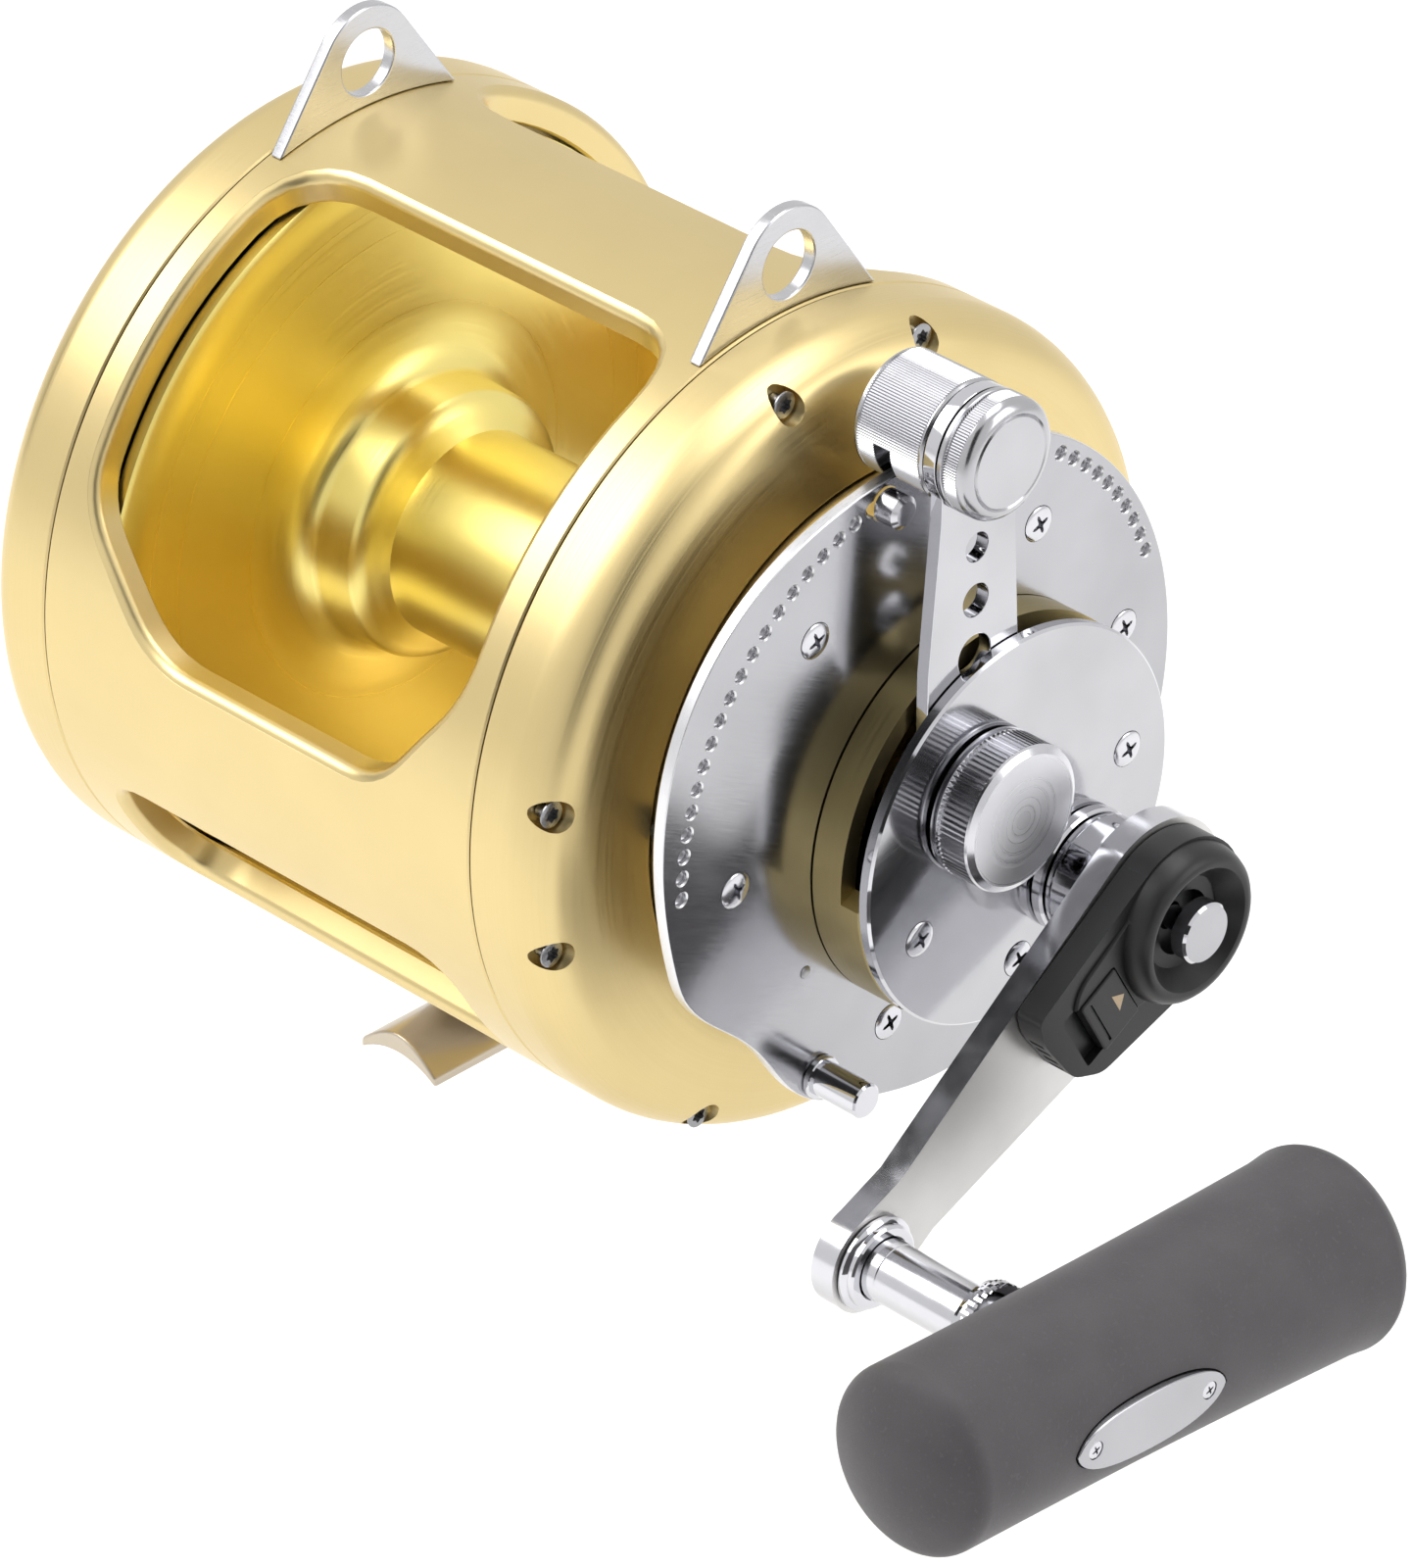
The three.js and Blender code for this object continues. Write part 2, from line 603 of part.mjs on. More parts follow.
/** Rounded bar on the handle post, thicker at its front end and turned a little on the post. */
function gripBody() {
  const span = GRIP_FRONT_END - GRIP_BACK_END;
  const back = gripEnd(GRIP_BACK_RADIUS, GRIP_BACK_DOME);
  const front = gripEnd(GRIP_FRONT_RADIUS, GRIP_FRONT_DOME).reverse();
  const middle = [0.3, 0.5, 0.7].map((share) => [
    GRIP_BACK_END + share * span,
    GRIP_BACK_RADIUS + share * (GRIP_FRONT_RADIUS - GRIP_BACK_RADIUS)
      - GRIP_WAIST * Math.sin(Math.PI * share),
  ]);
  const profile = [
    ...back.map(([inset, radius]) => [GRIP_BACK_END + inset, radius]),
    ...middle,
    ...front.map(([inset, radius]) => [GRIP_FRONT_END - inset, radius]),
  ];
  const points = profile.map(([along, radius]) => new THREE.Vector2(radius, along));
  const geometry = new THREE.LatheGeometry(points, 24);
  geometry.rotateX(rad(GRIP_TILT));
  geometry.translate(GRIP_AXIS_X, POST[0], POST[1]);
  return toSolid(geometry)
    .subtract(rod(150, 191.5, 6.7, POST))
    .subtract(rod(150, 163.2, 9.8, POST))
    .subtract(slab(badgeShape(0.3), BADGE_BACK - GAP, 210, 8));
}

/** A point of the badge: `along` the grip from the handle post, and `across` it. */
function onBadge(along, across) {
  const turn = rad(GRIP_TILT);
  return [
    POST[0] + along * Math.cos(turn) - across * Math.sin(turn),
    POST[1] + along * Math.sin(turn) + across * Math.cos(turn),
  ];
}

/** Pointed oval of the badge in the YZ plane, drawn about the handle post. */
function badgeShape(grow) {
  const half = BADGE_HALF_LENGTH + grow;
  const rise = BADGE_HALF_HEIGHT + grow;
  const shoulder = half - 2;
  const shape = new THREE.Shape();
  shape.moveTo(...onBadge(half, 0));
  shape.quadraticCurveTo(...onBadge(shoulder, rise), ...onBadge(0, rise));
  shape.quadraticCurveTo(...onBadge(-shoulder, rise), ...onBadge(-half, 0));
  shape.quadraticCurveTo(...onBadge(-shoulder, -rise), ...onBadge(0, -rise));
  shape.quadraticCurveTo(...onBadge(shoulder, -rise), ...onBadge(half, 0));
  return shape;
}

// ---- assembly -------------------------------------------------------------------------
const quadrantScrews = QUADRANT_SCREWS.map(([radius, angle]) => polar(radius, angle));
const coverScrews = COVER_SCREW_ANGLES.map(
  (angle) => polar(COVER_SCREW_RADIUS, angle, CASE_CENTRE));
const quadrantPostCentre = polar(...QUADRANT_POST);
const strikeCentre = polar(...STRIKE_BUTTON);
const clickCentre = [0, CLICK_HEIGHT];

addPart('frame', frame(), GOLD);
addPart('harness_lug_left', harnessLug(-58), POLISHED);
addPart('harness_lug_right', harnessLug(58 - LUG_THICKNESS), POLISHED);
addPart('foot', foot(), FOOT_STEEL);
addPart('left_side_plate', leftSidePlate().subtract(rod(-80, -60, 3.3, clickCentre, 20)), GOLD);
addPart('left_bearing_cap', leftBearingCap(), GOLD);
addPart('click_button', rod(-78.5, -68, 3, clickCentre, 20)
  .add(rod(-80.2, -78.4, 5.6, clickCentre, 24)), CHROME);
addPart('right_side_plate', rightSidePlate(), GOLD);
addPart('gear_plate', gearPlate(), STEEL);
addPart('gearbox_lid', gearboxLid(), OLIVE_GOLD);

const drilled = (solid, centres, face) => centres.reduce(
  (rest, centre) => rest.subtract(screwHole(centre, face)), solid);
addPart('quadrant_plate', drilled(quadrantPlate(), quadrantScrews, QUADRANT_FACE)
  .subtract(rod(90, 97, 3.9, quadrantPostCentre, 20))
  .subtract(rod(90, 97, STRIKE_RADIUS + 0.4, strikeCentre, 16)), POLISHED);
quadrantScrews.forEach((centre, i) => {
  addPart(`quadrant_screw_${i + 1}`, panScrew(centre, QUADRANT_FACE), CHROME);
});
addPart('quadrant_post', rod(QUADRANT_BACK + 0.1, 107.8, 3.6, quadrantPostCentre, 24), CHROME);
addPart('strike_button', rod(QUADRANT_FACE + 0.4, 100.4, STRIKE_RADIUS, strikeCentre, 16), CHROME);
addPart('gear_case', gearCase(), OLIVE_GOLD);
addPart('gear_cover', drilled(gearCover(), coverScrews, COVER_FACE), POLISHED);
coverScrews.forEach((centre, i) => {
  addPart(`cover_screw_${i + 1}`, panScrew(centre, COVER_FACE), CHROME);
});
addPart('crank_collar', ring(COVER_FACE + GAP, 112.8, 7.2, 13, CRANK, 36), CHROME);

addPart('spool', spool(), DEEP_GOLD);
addPart('spool_bearing_left', bearing(-48.2, -43.8, BEARING_BORE, 10.7), STEEL);
addPart('spool_bearing_right', bearing(43.8, 48.2, BEARING_BORE, 10.7), STEEL);
addPart('drag_washer', ring(52.3, 54, 30, 59, [0, 0], 32), CARBON);
addPart('spool_shaft', spoolShaft(), STEEL);
addPart('drive_plate', drivePlate(), STEEL);
addPart('pinion_cluster', pinionCluster(), STEEL);
addPart('pinion_bearing', bearing(59.1, 61.9, 9.4, 13), STEEL);
addPart('preset_spring', ring(78, 86.5, 5.6, 9.6, [0, 0], 20), STEEL);
addPart('cam_follower', ring(88.2, 95.2, 5.6, 15, [0, 0], 24), BRASS);
addPart('drag_cam', ring(96.8, 103.7, 5.9, 15.6, [0, 0], 24)
  .add(ring(103.6, 106.9, 5.9, 8.2, [0, 0], 24)), BRASS);

addPart('lever_arm', leverArm(), POLISHED);
addPart('lever_sleeve', leverSleeve(), CHROME);
addPart('lever_cap', leverCap(), CHROME);
addPart('preset_knob', presetKnob(), CHROME);

addPart('crank_shaft', crankShaft(), STEEL);
addPart('high_gear', gear(HIGH_TEETH, 135, 6.3, 62.8, 67.2, CRANK), BRASS);
addPart('low_gear', gear(LOW_TEETH, 135, 6.3, 69.2, 73.6, CRANK), BRASS);
addPart('ratchet_wheel', gear(20, 0, 6.3, 77.6, 80.8, CRANK), STEEL);
addPart('ratchet_pawl', ratchetPawl(), STEEL);
addPart('crank_bearing_inner', bearing(59.1, 61.9, 6.1, 11.1, CRANK), STEEL);
addPart('crank_bearing_outer', bearing(88.7, 91.9, 6.1, 11.1, CRANK), STEEL);
addPart('crank_sleeve', crankSleeve(), CHROME);
addPart('crank_arm', crankArm(), CHROME);
addPart('speed_housing', speedHousing(), BLACK_PLASTIC);
addPart('low_button', lowButton(), CHROME);
addPart('high_tab', highTab(), BLACK_PLASTIC);
addPart('handle_post', handlePost(), CHROME);
addPart('post_collar', postCollar(), CHROME);
addPart('grip_washer', gripWasher(), CHROME);
addPart('grip', gripBody(), RUBBER);
addPart('grip_badge', slab(badgeShape(0), BADGE_BACK, BADGE_FACE, 8), POLISHED);

export default reel;
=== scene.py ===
import logging
import math
from dataclasses import dataclass, field
from enum import Enum
from typing import Callable, Iterable, Optional, Sequence

import bmesh
import bpy
from mathutils import Matrix, Vector


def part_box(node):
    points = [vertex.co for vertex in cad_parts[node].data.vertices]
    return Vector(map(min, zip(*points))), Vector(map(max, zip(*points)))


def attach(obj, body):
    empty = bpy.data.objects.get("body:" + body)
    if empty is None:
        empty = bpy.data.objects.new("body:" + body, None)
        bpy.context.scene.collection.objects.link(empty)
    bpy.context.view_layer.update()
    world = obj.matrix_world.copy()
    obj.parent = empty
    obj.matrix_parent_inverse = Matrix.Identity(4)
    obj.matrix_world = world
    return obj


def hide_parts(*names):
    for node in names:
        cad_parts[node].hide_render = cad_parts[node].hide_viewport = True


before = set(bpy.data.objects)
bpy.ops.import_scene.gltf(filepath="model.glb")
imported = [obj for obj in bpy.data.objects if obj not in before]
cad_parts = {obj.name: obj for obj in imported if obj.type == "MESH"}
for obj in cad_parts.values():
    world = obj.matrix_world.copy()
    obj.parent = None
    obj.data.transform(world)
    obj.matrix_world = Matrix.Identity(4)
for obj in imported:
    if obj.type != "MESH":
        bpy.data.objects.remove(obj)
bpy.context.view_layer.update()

LOG = logging.getLogger("reel")
MM = 0.001
Point = tuple[float, float]


def middle(node: str) -> Vector:
    """The middle of a node's box, in millimetres."""
    low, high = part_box(node)
    return (low + high) / 2 / MM


AXIS_HEIGHT = middle("spool").z


def axis_of(node: str) -> Point:
    """Where a turned node's own axis crosses the y-z plane, about the spool axis."""
    centre = middle(node)
    return centre.y, centre.z - AXIS_HEIGHT


CRANK = axis_of("crank_collar")
POST = axis_of("post_collar")
CASE = axis_of("gear_cover")
LEVER_TOP = axis_of("lever_cap")
ARM_WAY = math.atan2(POST[1] - CRANK[1], POST[0] - CRANK[0])


def spot(x: float, y: float, z: float) -> Vector:
    """A place about the spool axis, as metres in the row frame."""
    return Vector((x, y, z + AXIS_HEIGHT)) * MM


def polar(radius: float, degrees: float, centre: Point = (0.0, 0.0)) -> Point:
    """A point at a radius and angle from a centre in the y-z plane."""
    angle = math.radians(degrees)
    return centre[0] + radius * math.cos(angle), centre[1] + radius * math.sin(angle)


def on_arm(along: float, across: float) -> Point:
    """A point on the crank arm: along it from the crank axis, and across toward its top edge."""
    run, rise = math.cos(ARM_WAY), math.sin(ARM_WAY)
    return CRANK[0] + along * run + across * rise, CRANK[1] + along * rise - across * run


# ---- finishes -------------------------------------------------------------------------
class Grain(Enum):
    """How a metal's surface was worked."""

    TURNED = "fine rings left by a lathe"
    DRAWN = "straight lines left by a belt"
    BLASTED = "even bead-blasted grain under the anodising"
    PLATED = "polished smooth, then plated"


class Sheet:
    """A material's node tree, with short ways to add nodes to it."""

    def __init__(self, name: str) -> None:
        """Starts a material with one principled shader.

        Args:
            name: the material's name.
        """
        self.material = bpy.data.materials.new(name)
        self.material.use_nodes = True
        self.tree = self.material.node_tree
        self.shader = next(n for n in self.tree.nodes if n.type == "BSDF_PRINCIPLED")

    def add(self, kind: str, **settings: object) -> bpy.types.Node:
        """Adds a node and sets its plain properties.

        Args:
            kind: the node's type name.
            **settings: properties of the node.

        Returns:
            The new node.
        """
        node = self.tree.nodes.new(kind)
        for key, value in settings.items():
            setattr(node, key, value)
        return node

    def wire(self, source: bpy.types.NodeSocket, target: bpy.types.NodeSocket) -> None:
        """Links an output to an input."""
        self.tree.links.new(source, target)

    def math(self, operation: str, first: object, second: object = 0.0) -> bpy.types.NodeSocket:
        """A math node on two values or sockets.

        Args:
            operation: the node's operation.
            first: a number or a socket.
            second: a number or a socket.

        Returns:
            The node's output socket.
        """
        node = self.add("ShaderNodeMath", operation=operation)
        for socket, value in zip(node.inputs, (first, second)):
            if isinstance(value, bpy.types.NodeSocket):
                self.wire(value, socket)
            else:
                socket.default_value = value
        return node.outputs[0]

    def place(self, offset: Sequence[float] = (0, 0, 0), turn: float = 0.0) -> bpy.types.NodeSocket:
        """Object coordinates in millimetres, moved and turned about x.

        Args:
            offset: what is taken away from the coordinates, in metres.
            turn: turn about x in radians.

        Returns:
            The mapped vector's socket.
        """
        coordinates = self.add("ShaderNodeTexCoord")
        shift = self.add("ShaderNodeVectorMath", operation="SUBTRACT")
        shift.inputs[1].default_value = offset
        self.wire(coordinates.outputs["Object"], shift.inputs[0])
        mapping = self.add("ShaderNodeMapping")
        mapping.inputs["Rotation"].default_value = (turn, 0, 0)
        mapping.inputs["Scale"].default_value = (1000, 1000, 1000)
        self.wire(shift.outputs[0], mapping.inputs["Vector"])
        return mapping.outputs[0]

    def noise(
        self, vector: bpy.types.NodeSocket, scale: float, detail: float = 2.0
    ) -> bpy.types.NodeSocket:
        """A noise texture's value.

        Args:
            vector: coordinates.
            scale: how many cells a millimetre holds.
            detail: octaves.

        Returns:
            The value's socket.
        """
        node = self.add("ShaderNodeTexNoise")
        node.inputs["Scale"].default_value = scale
        node.inputs["Detail"].default_value = detail
        self.wire(vector, node.inputs["Vector"])
        return node.outputs[0]

    def stretch(
        self, vector: bpy.types.NodeSocket, scale: Sequence[float]
    ) -> bpy.types.NodeSocket:
        """Coordinates scaled differently along each axis.

        Args:
            vector: coordinates.
            scale: one factor for each axis.

        Returns:
            The scaled vector's socket.
        """
        node = self.add("ShaderNodeVectorMath", operation="MULTIPLY")
        node.inputs[1].default_value = scale
        self.wire(vector, node.inputs[0])
        return node.outputs[0]

    def rings(self, vector: bpy.types.NodeSocket, pitch: float) -> bpy.types.NodeSocket:
        """Noise that changes only with the distance from the x axis and along it.

        Args:
            vector: coordinates about the axis.
            pitch: the rings' spacing in millimetres.

        Returns:
            The value's socket.
        """
        split = self.add("ShaderNodeSeparateXYZ")
        self.wire(vector, split.inputs[0])
        square = self.math("MULTIPLY", split.outputs[1], split.outputs[1])
        other = self.math("MULTIPLY", split.outputs[2], split.outputs[2])
        radius = self.math("SQRT", self.math("ADD", square, other))
        join = self.add("ShaderNodeCombineXYZ")
        self.wire(radius, join.inputs[0])
        self.wire(split.outputs[0], join.inputs[1])
        return self.noise(join.outputs[0], 1 / pitch, 3.0)

    def spread(
        self, value: bpy.types.NodeSocket, low: float, high: float
    ) -> bpy.types.NodeSocket:
        """A noise value spread between two numbers.

        Args:
            value: the noise.
            low: result where the noise is weak.
            high: result where it is strong.

        Returns:
            The result's socket.
        """
        node = self.add("ShaderNodeMapRange")
        node.inputs["From Min"].default_value = 0.3
        node.inputs["From Max"].default_value = 0.7
        node.inputs["To Min"].default_value = low
        node.inputs["To Max"].default_value = high
        self.wire(value, node.inputs["Value"])
        return node.outputs[0]

    def tint(
        self, value: bpy.types.NodeSocket, dark: Sequence[float], light: Sequence[float]
    ) -> None:
        """Colours the shader between two colours.

        Args:
            value: the noise that mixes them.
            dark: colour where the noise is weak.
            light: colour where it is strong.
        """
        ramp = self.add("ShaderNodeValToRGB")
        ramp.color_ramp.elements[0].position = 0.3
        ramp.color_ramp.elements[1].position = 0.7
        ramp.color_ramp.elements[0].color = (*dark, 1)
        ramp.color_ramp.elements[1].color = (*light, 1)
        self.wire(value, ramp.inputs[0])
        self.wire(ramp.outputs[0], self.shader.inputs["Base Color"])

    def relief(self, height: bpy.types.NodeSocket, depth: float) -> None:
        """Bumps the shader's normal.

        Args:
            height: height of the surface.
            depth: height in millimetres that a full step stands for.
        """
        bump = self.add("ShaderNodeBump")
        bump.inputs["Strength"].default_value = 1.0
        bump.inputs["Distance"].default_value = depth * MM
        self.wire(height, bump.inputs["Height"])
        self.wire(bump.outputs[0], self.shader.inputs["Normal"])


@dataclass(frozen=True)
class Metal:
    """A metal finish: its colour, how rough it is, and how it was worked."""

    name: str
    colour: tuple[float, float, float]
    roughness: float
    grain: Grain
    centre: Point = (0.0, 0.0)
    pitch: float = 0.35
    depth: float = 0.002
    unevenness: float = 0.06
    turn: float = 0.0

    def build(self) -> bpy.types.Material:
        """Makes the material.

        Returns:
            The finished material.
        """
        sheet = Sheet(self.name)
        sheet.shader.inputs["Metallic"].default_value = 1.0
        offset = (0.0, self.centre[0] * MM, (self.centre[1] + AXIS_HEIGHT) * MM)
        place = sheet.place(offset, self.turn)
        cloud = sheet.noise(place, 0.045, 3.0)
        dark = tuple(c * (1 - self.unevenness) for c in self.colour)
        light = tuple(min(1.0, c * (1 + self.unevenness)) for c in self.colour)
        sheet.tint(cloud, dark, light)
        if self.grain is Grain.TURNED:
            lines = sheet.rings(place, self.pitch)
        elif self.grain is Grain.DRAWN:
            lines = sheet.noise(sheet.stretch(place, (0.3, 0.06, 3.0)), 1 / self.pitch, 2.0)
        elif self.grain is Grain.BLASTED:
            lines = sheet.noise(place, 1 / self.pitch, 4.0)
        else:
            lines = sheet.noise(place, 0.25, 2.0)
        rough = sheet.spread(lines, self.roughness * 0.85, self.roughness * 1.2)
        sheet.wire(rough, sheet.shader.inputs["Roughness"])
        sheet.relief(lines, self.depth)
        return sheet.material


@dataclass(frozen=True)
class Polymer:
    """A moulded finish, such as plastic or rubber, with its grain and the dust on it."""

    name: str
    colour: tuple[float, float, float]
    roughness: float
    grain: float
    depth: float
    dust: float = 0.0
    sheen: float = 0.0

    def build(self) -> bpy.types.Material:
        """Makes the material.

        Returns:
            The finished material.
        """
        sheet = Sheet(self.name)
        sheet.shader.inputs["Metallic"].default_value = 0.0
        sheet.shader.inputs["Specular IOR Level"].default_value = 0.4
        sheet.shader.inputs["Sheen Weight"].default_value = self.sheen
        place = sheet.place()
        grain = sheet.noise(place, 1 / self.grain, 4.0)
        cloud = sheet.noise(place, 0.08, 3.0)
        specks = sheet.noise(place, 1.1, 0.0)
        mark = sheet.add("ShaderNodeMapRange")
        mark.inputs["From Min"].default_value = 0.71
        mark.inputs["From Max"].default_value = 0.75
        mark.inputs["To Max"].default_value = self.dust
        sheet.wire(specks, mark.inputs["Value"])
        level = sheet.math("ADD", cloud, mark.outputs[0])
        sheet.tint(level, tuple(c * 0.9 for c in self.colour), tuple(c * 1.12 for c in self.colour))
        rough = sheet.spread(grain, self.roughness * 0.9, self.roughness * 1.1)
        sheet.wire(rough, sheet.shader.inputs["Roughness"])
        sheet.relief(grain, self.depth)
        return sheet.material


@dataclass(frozen=True)
class Paint:
    """A thin printed mark."""

    name: str
    colour: tuple[float, float, float]

    def build(self) -> bpy.types.Material:
        """Makes the material.

        Returns:
            The finished material.
        """
        sheet = Sheet(self.name)
        grain = sheet.noise(sheet.place(), 3.0, 3.0)
        sheet.tint(grain, tuple(c * 0.85 for c in self.colour), self.colour)
        sheet.wire(sheet.spread(grain, 0.5, 0.65), sheet.shader.inputs["Roughness"])
        sheet.relief(grain, 0.01)
        return sheet.material


GOLD = (0.74, 0.59, 0.29)
DEEP_GOLD = (0.97, 0.81, 0.27)
OLIVE = (0.42, 0.34, 0.16)
ALUMINIUM = (0.52, 0.52, 0.54)
BRIGHT = (0.66, 0.66, 0.69)
STEEL = (0.45, 0.45, 0.46)


class Finishes:
    """Every finish on the reel, built once."""

    def __init__(self) -> None:
        """Builds the materials."""
        plated = {"grain": Grain.PLATED, "depth": 0.0008, "unevenness": 0.03}
        kinds: list[Metal | Polymer | Paint] = [
            Metal("champagne_gold", GOLD, 0.33, Grain.BLASTED, pitch=0.16, depth=0.003,
                  unevenness=0.02),
            Metal("turned_gold", GOLD, 0.36, Grain.TURNED, pitch=0.4, depth=0.0015,
                  unevenness=0.02),
            Metal("spool_gold", DEEP_GOLD, 0.32, Grain.TURNED, pitch=0.5, depth=0.0016,
                  unevenness=0.02),
            Metal("olive_gold", OLIVE, 0.36, Grain.TURNED, CASE, pitch=0.3, depth=0.002),
            # The lid's finish is the olive gold made about 1.4 times lighter: painted light that
            # lifts its side wall out of the shade between plate and quadrant. The blasted grain is
            # real.
            Metal("olive_gold_painted_light", (0.60, 0.48, 0.23), 0.36, Grain.BLASTED, pitch=0.2, depth=0.003,
                  unevenness=0.03),
            Metal("lug_aluminium", (0.58, 0.58, 0.60), 0.24, Grain.DRAWN, pitch=0.5, depth=0.002),
            Metal("quadrant_aluminium", (0.46, 0.46, 0.48), 0.17, Grain.DRAWN, pitch=0.4,
                  depth=0.0016, turn=0.5),
            Metal("cover_aluminium", ALUMINIUM, 0.11, Grain.DRAWN, pitch=0.4, depth=0.0012,
                  turn=-0.3),
            Metal("knob_face", (0.72, 0.72, 0.75), 0.3, Grain.TURNED, pitch=0.25, depth=0.004),
            Metal("arm_satin", (0.66, 0.65, 0.64), 0.34, Grain.DRAWN, CRANK, pitch=0.3,
                  depth=0.003, turn=-ARM_WAY),
            Metal("chrome", BRIGHT, 0.06, **plated),
            Metal("soft_chrome", BRIGHT, 0.16, **plated),
            # The knurled parts' finish is the chrome colour darkened to three quarters: painted
            # dark reflections on the knurled sleeve and cap.
            Metal("chrome_painted_dark_reflection", (0.50, 0.50, 0.52), 0.2, **plated),
            # The rim and hole-wall finish is a lighter copy of the aluminium: a painted highlight
            # that makes the detent holes and the plate's rim glint.
            Metal("aluminium_painted_highlight", (0.80, 0.80, 0.82), 0.3, Grain.TURNED, pitch=0.3),
            Metal("machined_steel", STEEL, 0.34, Grain.TURNED, pitch=0.3, depth=0.003),
            Metal("gear_brass", (0.62, 0.44, 0.16), 0.3, Grain.TURNED, CRANK, pitch=0.3),
            Metal("foot_bronze", (0.56, 0.49, 0.39), 0.33, Grain.DRAWN, pitch=0.4,
                  depth=0.004),
            Metal("screw_steel", (0.34, 0.34, 0.35), 0.3, Grain.BLASTED, pitch=0.3),
            Polymer("carbon_fibre", (0.03, 0.03, 0.033), 0.6, 0.5, 0.05),
            Polymer("housing_black", (0.013, 0.013, 0.014), 0.38, 0.22, 0.012, dust=0.1),
            Polymer("grip_rubber", (0.062, 0.057, 0.061), 0.62, 0.3, 0.02, dust=3.0,
                    sheen=0.15),
            Polymer("pad_rubber", (0.02, 0.02, 0.02), 0.6, 0.3, 0.02),
            Paint("tan_mark", (0.55, 0.42, 0.27)),
        ]
        self.built = {kind.name: kind.build() for kind in kinds}

    def __getitem__(self, name: str) -> bpy.types.Material:
        """The material of that name."""
        return self.built[name]


# ---- modelling moves ------------------------------------------------------------------
class Bench:
    """Modelling moves that the sub-assemblies share, each made of Blender operators."""

    @staticmethod
    def clear() -> None:
        """Leaves edit mode and selects nothing."""
        if bpy.context.object is not None and bpy.context.object.mode != "OBJECT":
            bpy.ops.object.mode_set(mode="OBJECT")
        bpy.ops.object.select_all(action="DESELECT")

    @staticmethod
    def pick(piece: bpy.types.Object) -> None:
        """Selects one piece alone and makes it active."""
        Bench.clear()
        piece.select_set(True)
        bpy.context.view_layer.objects.active = piece

    @staticmethod
    def choose(piece: bpy.types.Object, test: Callable[[Vector], bool]) -> None:
        """In edit mode, selects the vertices whose place passes a test, and no others.

        Args:
            piece: the piece being edited.
            test: takes a place in millimetres about the spool axis.
        """
        bpy.ops.mesh.select_mode(type="VERT")
        bpy.ops.mesh.select_all(action="DESELECT")
        mesh = bmesh.from_edit_mesh(piece.data)
        rise = Vector((0, 0, AXIS_HEIGHT))
        for vertex in mesh.verts:
            vertex.select = test(vertex.co / MM - rise)
        mesh.select_flush_mode()
        bmesh.update_edit_mesh(piece.data)

    @staticmethod
    def trace(name: str, points: Sequence[Vector]) -> bpy.types.Object:
        """Draws a chain of edges through points, as a new piece left in edit mode.

        Args:
            name: the piece's name.
            points: places in metres.

        Returns:
            The piece.
        """
        Bench.clear()
        bpy.ops.mesh.primitive_plane_add(size=MM)
        piece = bpy.context.object
        piece.name = name
        bpy.ops.object.mode_set(mode="EDIT")
        bpy.ops.mesh.merge(type="CENTER")
        bpy.ops.transform.translate(value=points[0])
        for before, after in zip(points, points[1:]):
            bpy.ops.mesh.extrude_vertices_move(
                TRANSFORM_OT_translate={"value": after - before})
        return piece

    @staticmethod
    def tidy(piece: bpy.types.Object) -> bpy.types.Object:
        """Merges doubles, faces the surface outwards and leaves edit mode.

        Args:
            piece: the piece, in edit mode.

        Returns:
            The same piece.
        """
        bpy.ops.mesh.select_all(action="SELECT")
        bpy.ops.mesh.remove_doubles(threshold=1e-6)
        bpy.ops.mesh.normals_make_consistent(inside=False)
        bpy.ops.object.mode_set(mode="OBJECT")
        return piece

    @staticmethod
    def turned(
        name: str,
        profile: Sequence[Point],
        centre: Point = (0.0, 0.0),
        steps: int = 96,
        round_by: float = 0.0,
    ) -> bpy.types.Object:
        """A solid of revolution about a line along x.

        Args:
            name: the piece's name.
            profile: places as (x, radius); a profile off the axis is closed into a ring.
            centre: the axis in the y-z plane.
            steps: how many steps go round.
            round_by: radius of its rounded edges.

        Returns:
            The piece.
        """
        points = [spot(x, centre[0], centre[1] + radius) for x, radius in profile]
        if profile[0][1] > 0:
            points.append(points[0])
        piece = Bench.trace(name, points)
        bpy.ops.mesh.select_all(action="SELECT")
        bpy.ops.mesh.spin(
            steps=steps, angle=2 * math.pi, center=spot(0, *centre), axis=(1, 0, 0))
        Bench.tidy(piece)
        if round_by:
            Bench.round_edges(piece, round_by)
        return piece

    @staticmethod
    def prism(
        name: str,
        outline: Sequence[Point],
        low: float,
        high: float,
        round_by: float = 0.0,
    ) -> bpy.types.Object:
        """A plate: an outline in the y-z plane, filled and extruded along x.

        Args:
            name: the piece's name.
            outline: the outline's points in order.
            low: where the plate starts along x.
            high: where it ends.
            round_by: radius of its rounded edges.

        Returns:
            The piece.
        """
        points = [spot(low, y, z) for y, z in outline]
        piece = Bench.trace(name, [*points, points[0]])
        bpy.ops.mesh.select_all(action="SELECT")
        bpy.ops.mesh.remove_doubles(threshold=1e-7)
        bpy.ops.mesh.edge_face_add()
        bpy.ops.mesh.extrude_region_move(
            TRANSFORM_OT_translate={"value": ((high - low) * MM, 0, 0)})
        Bench.tidy(piece)
        if round_by:
            Bench.round_edges(piece, round_by)
        return piece

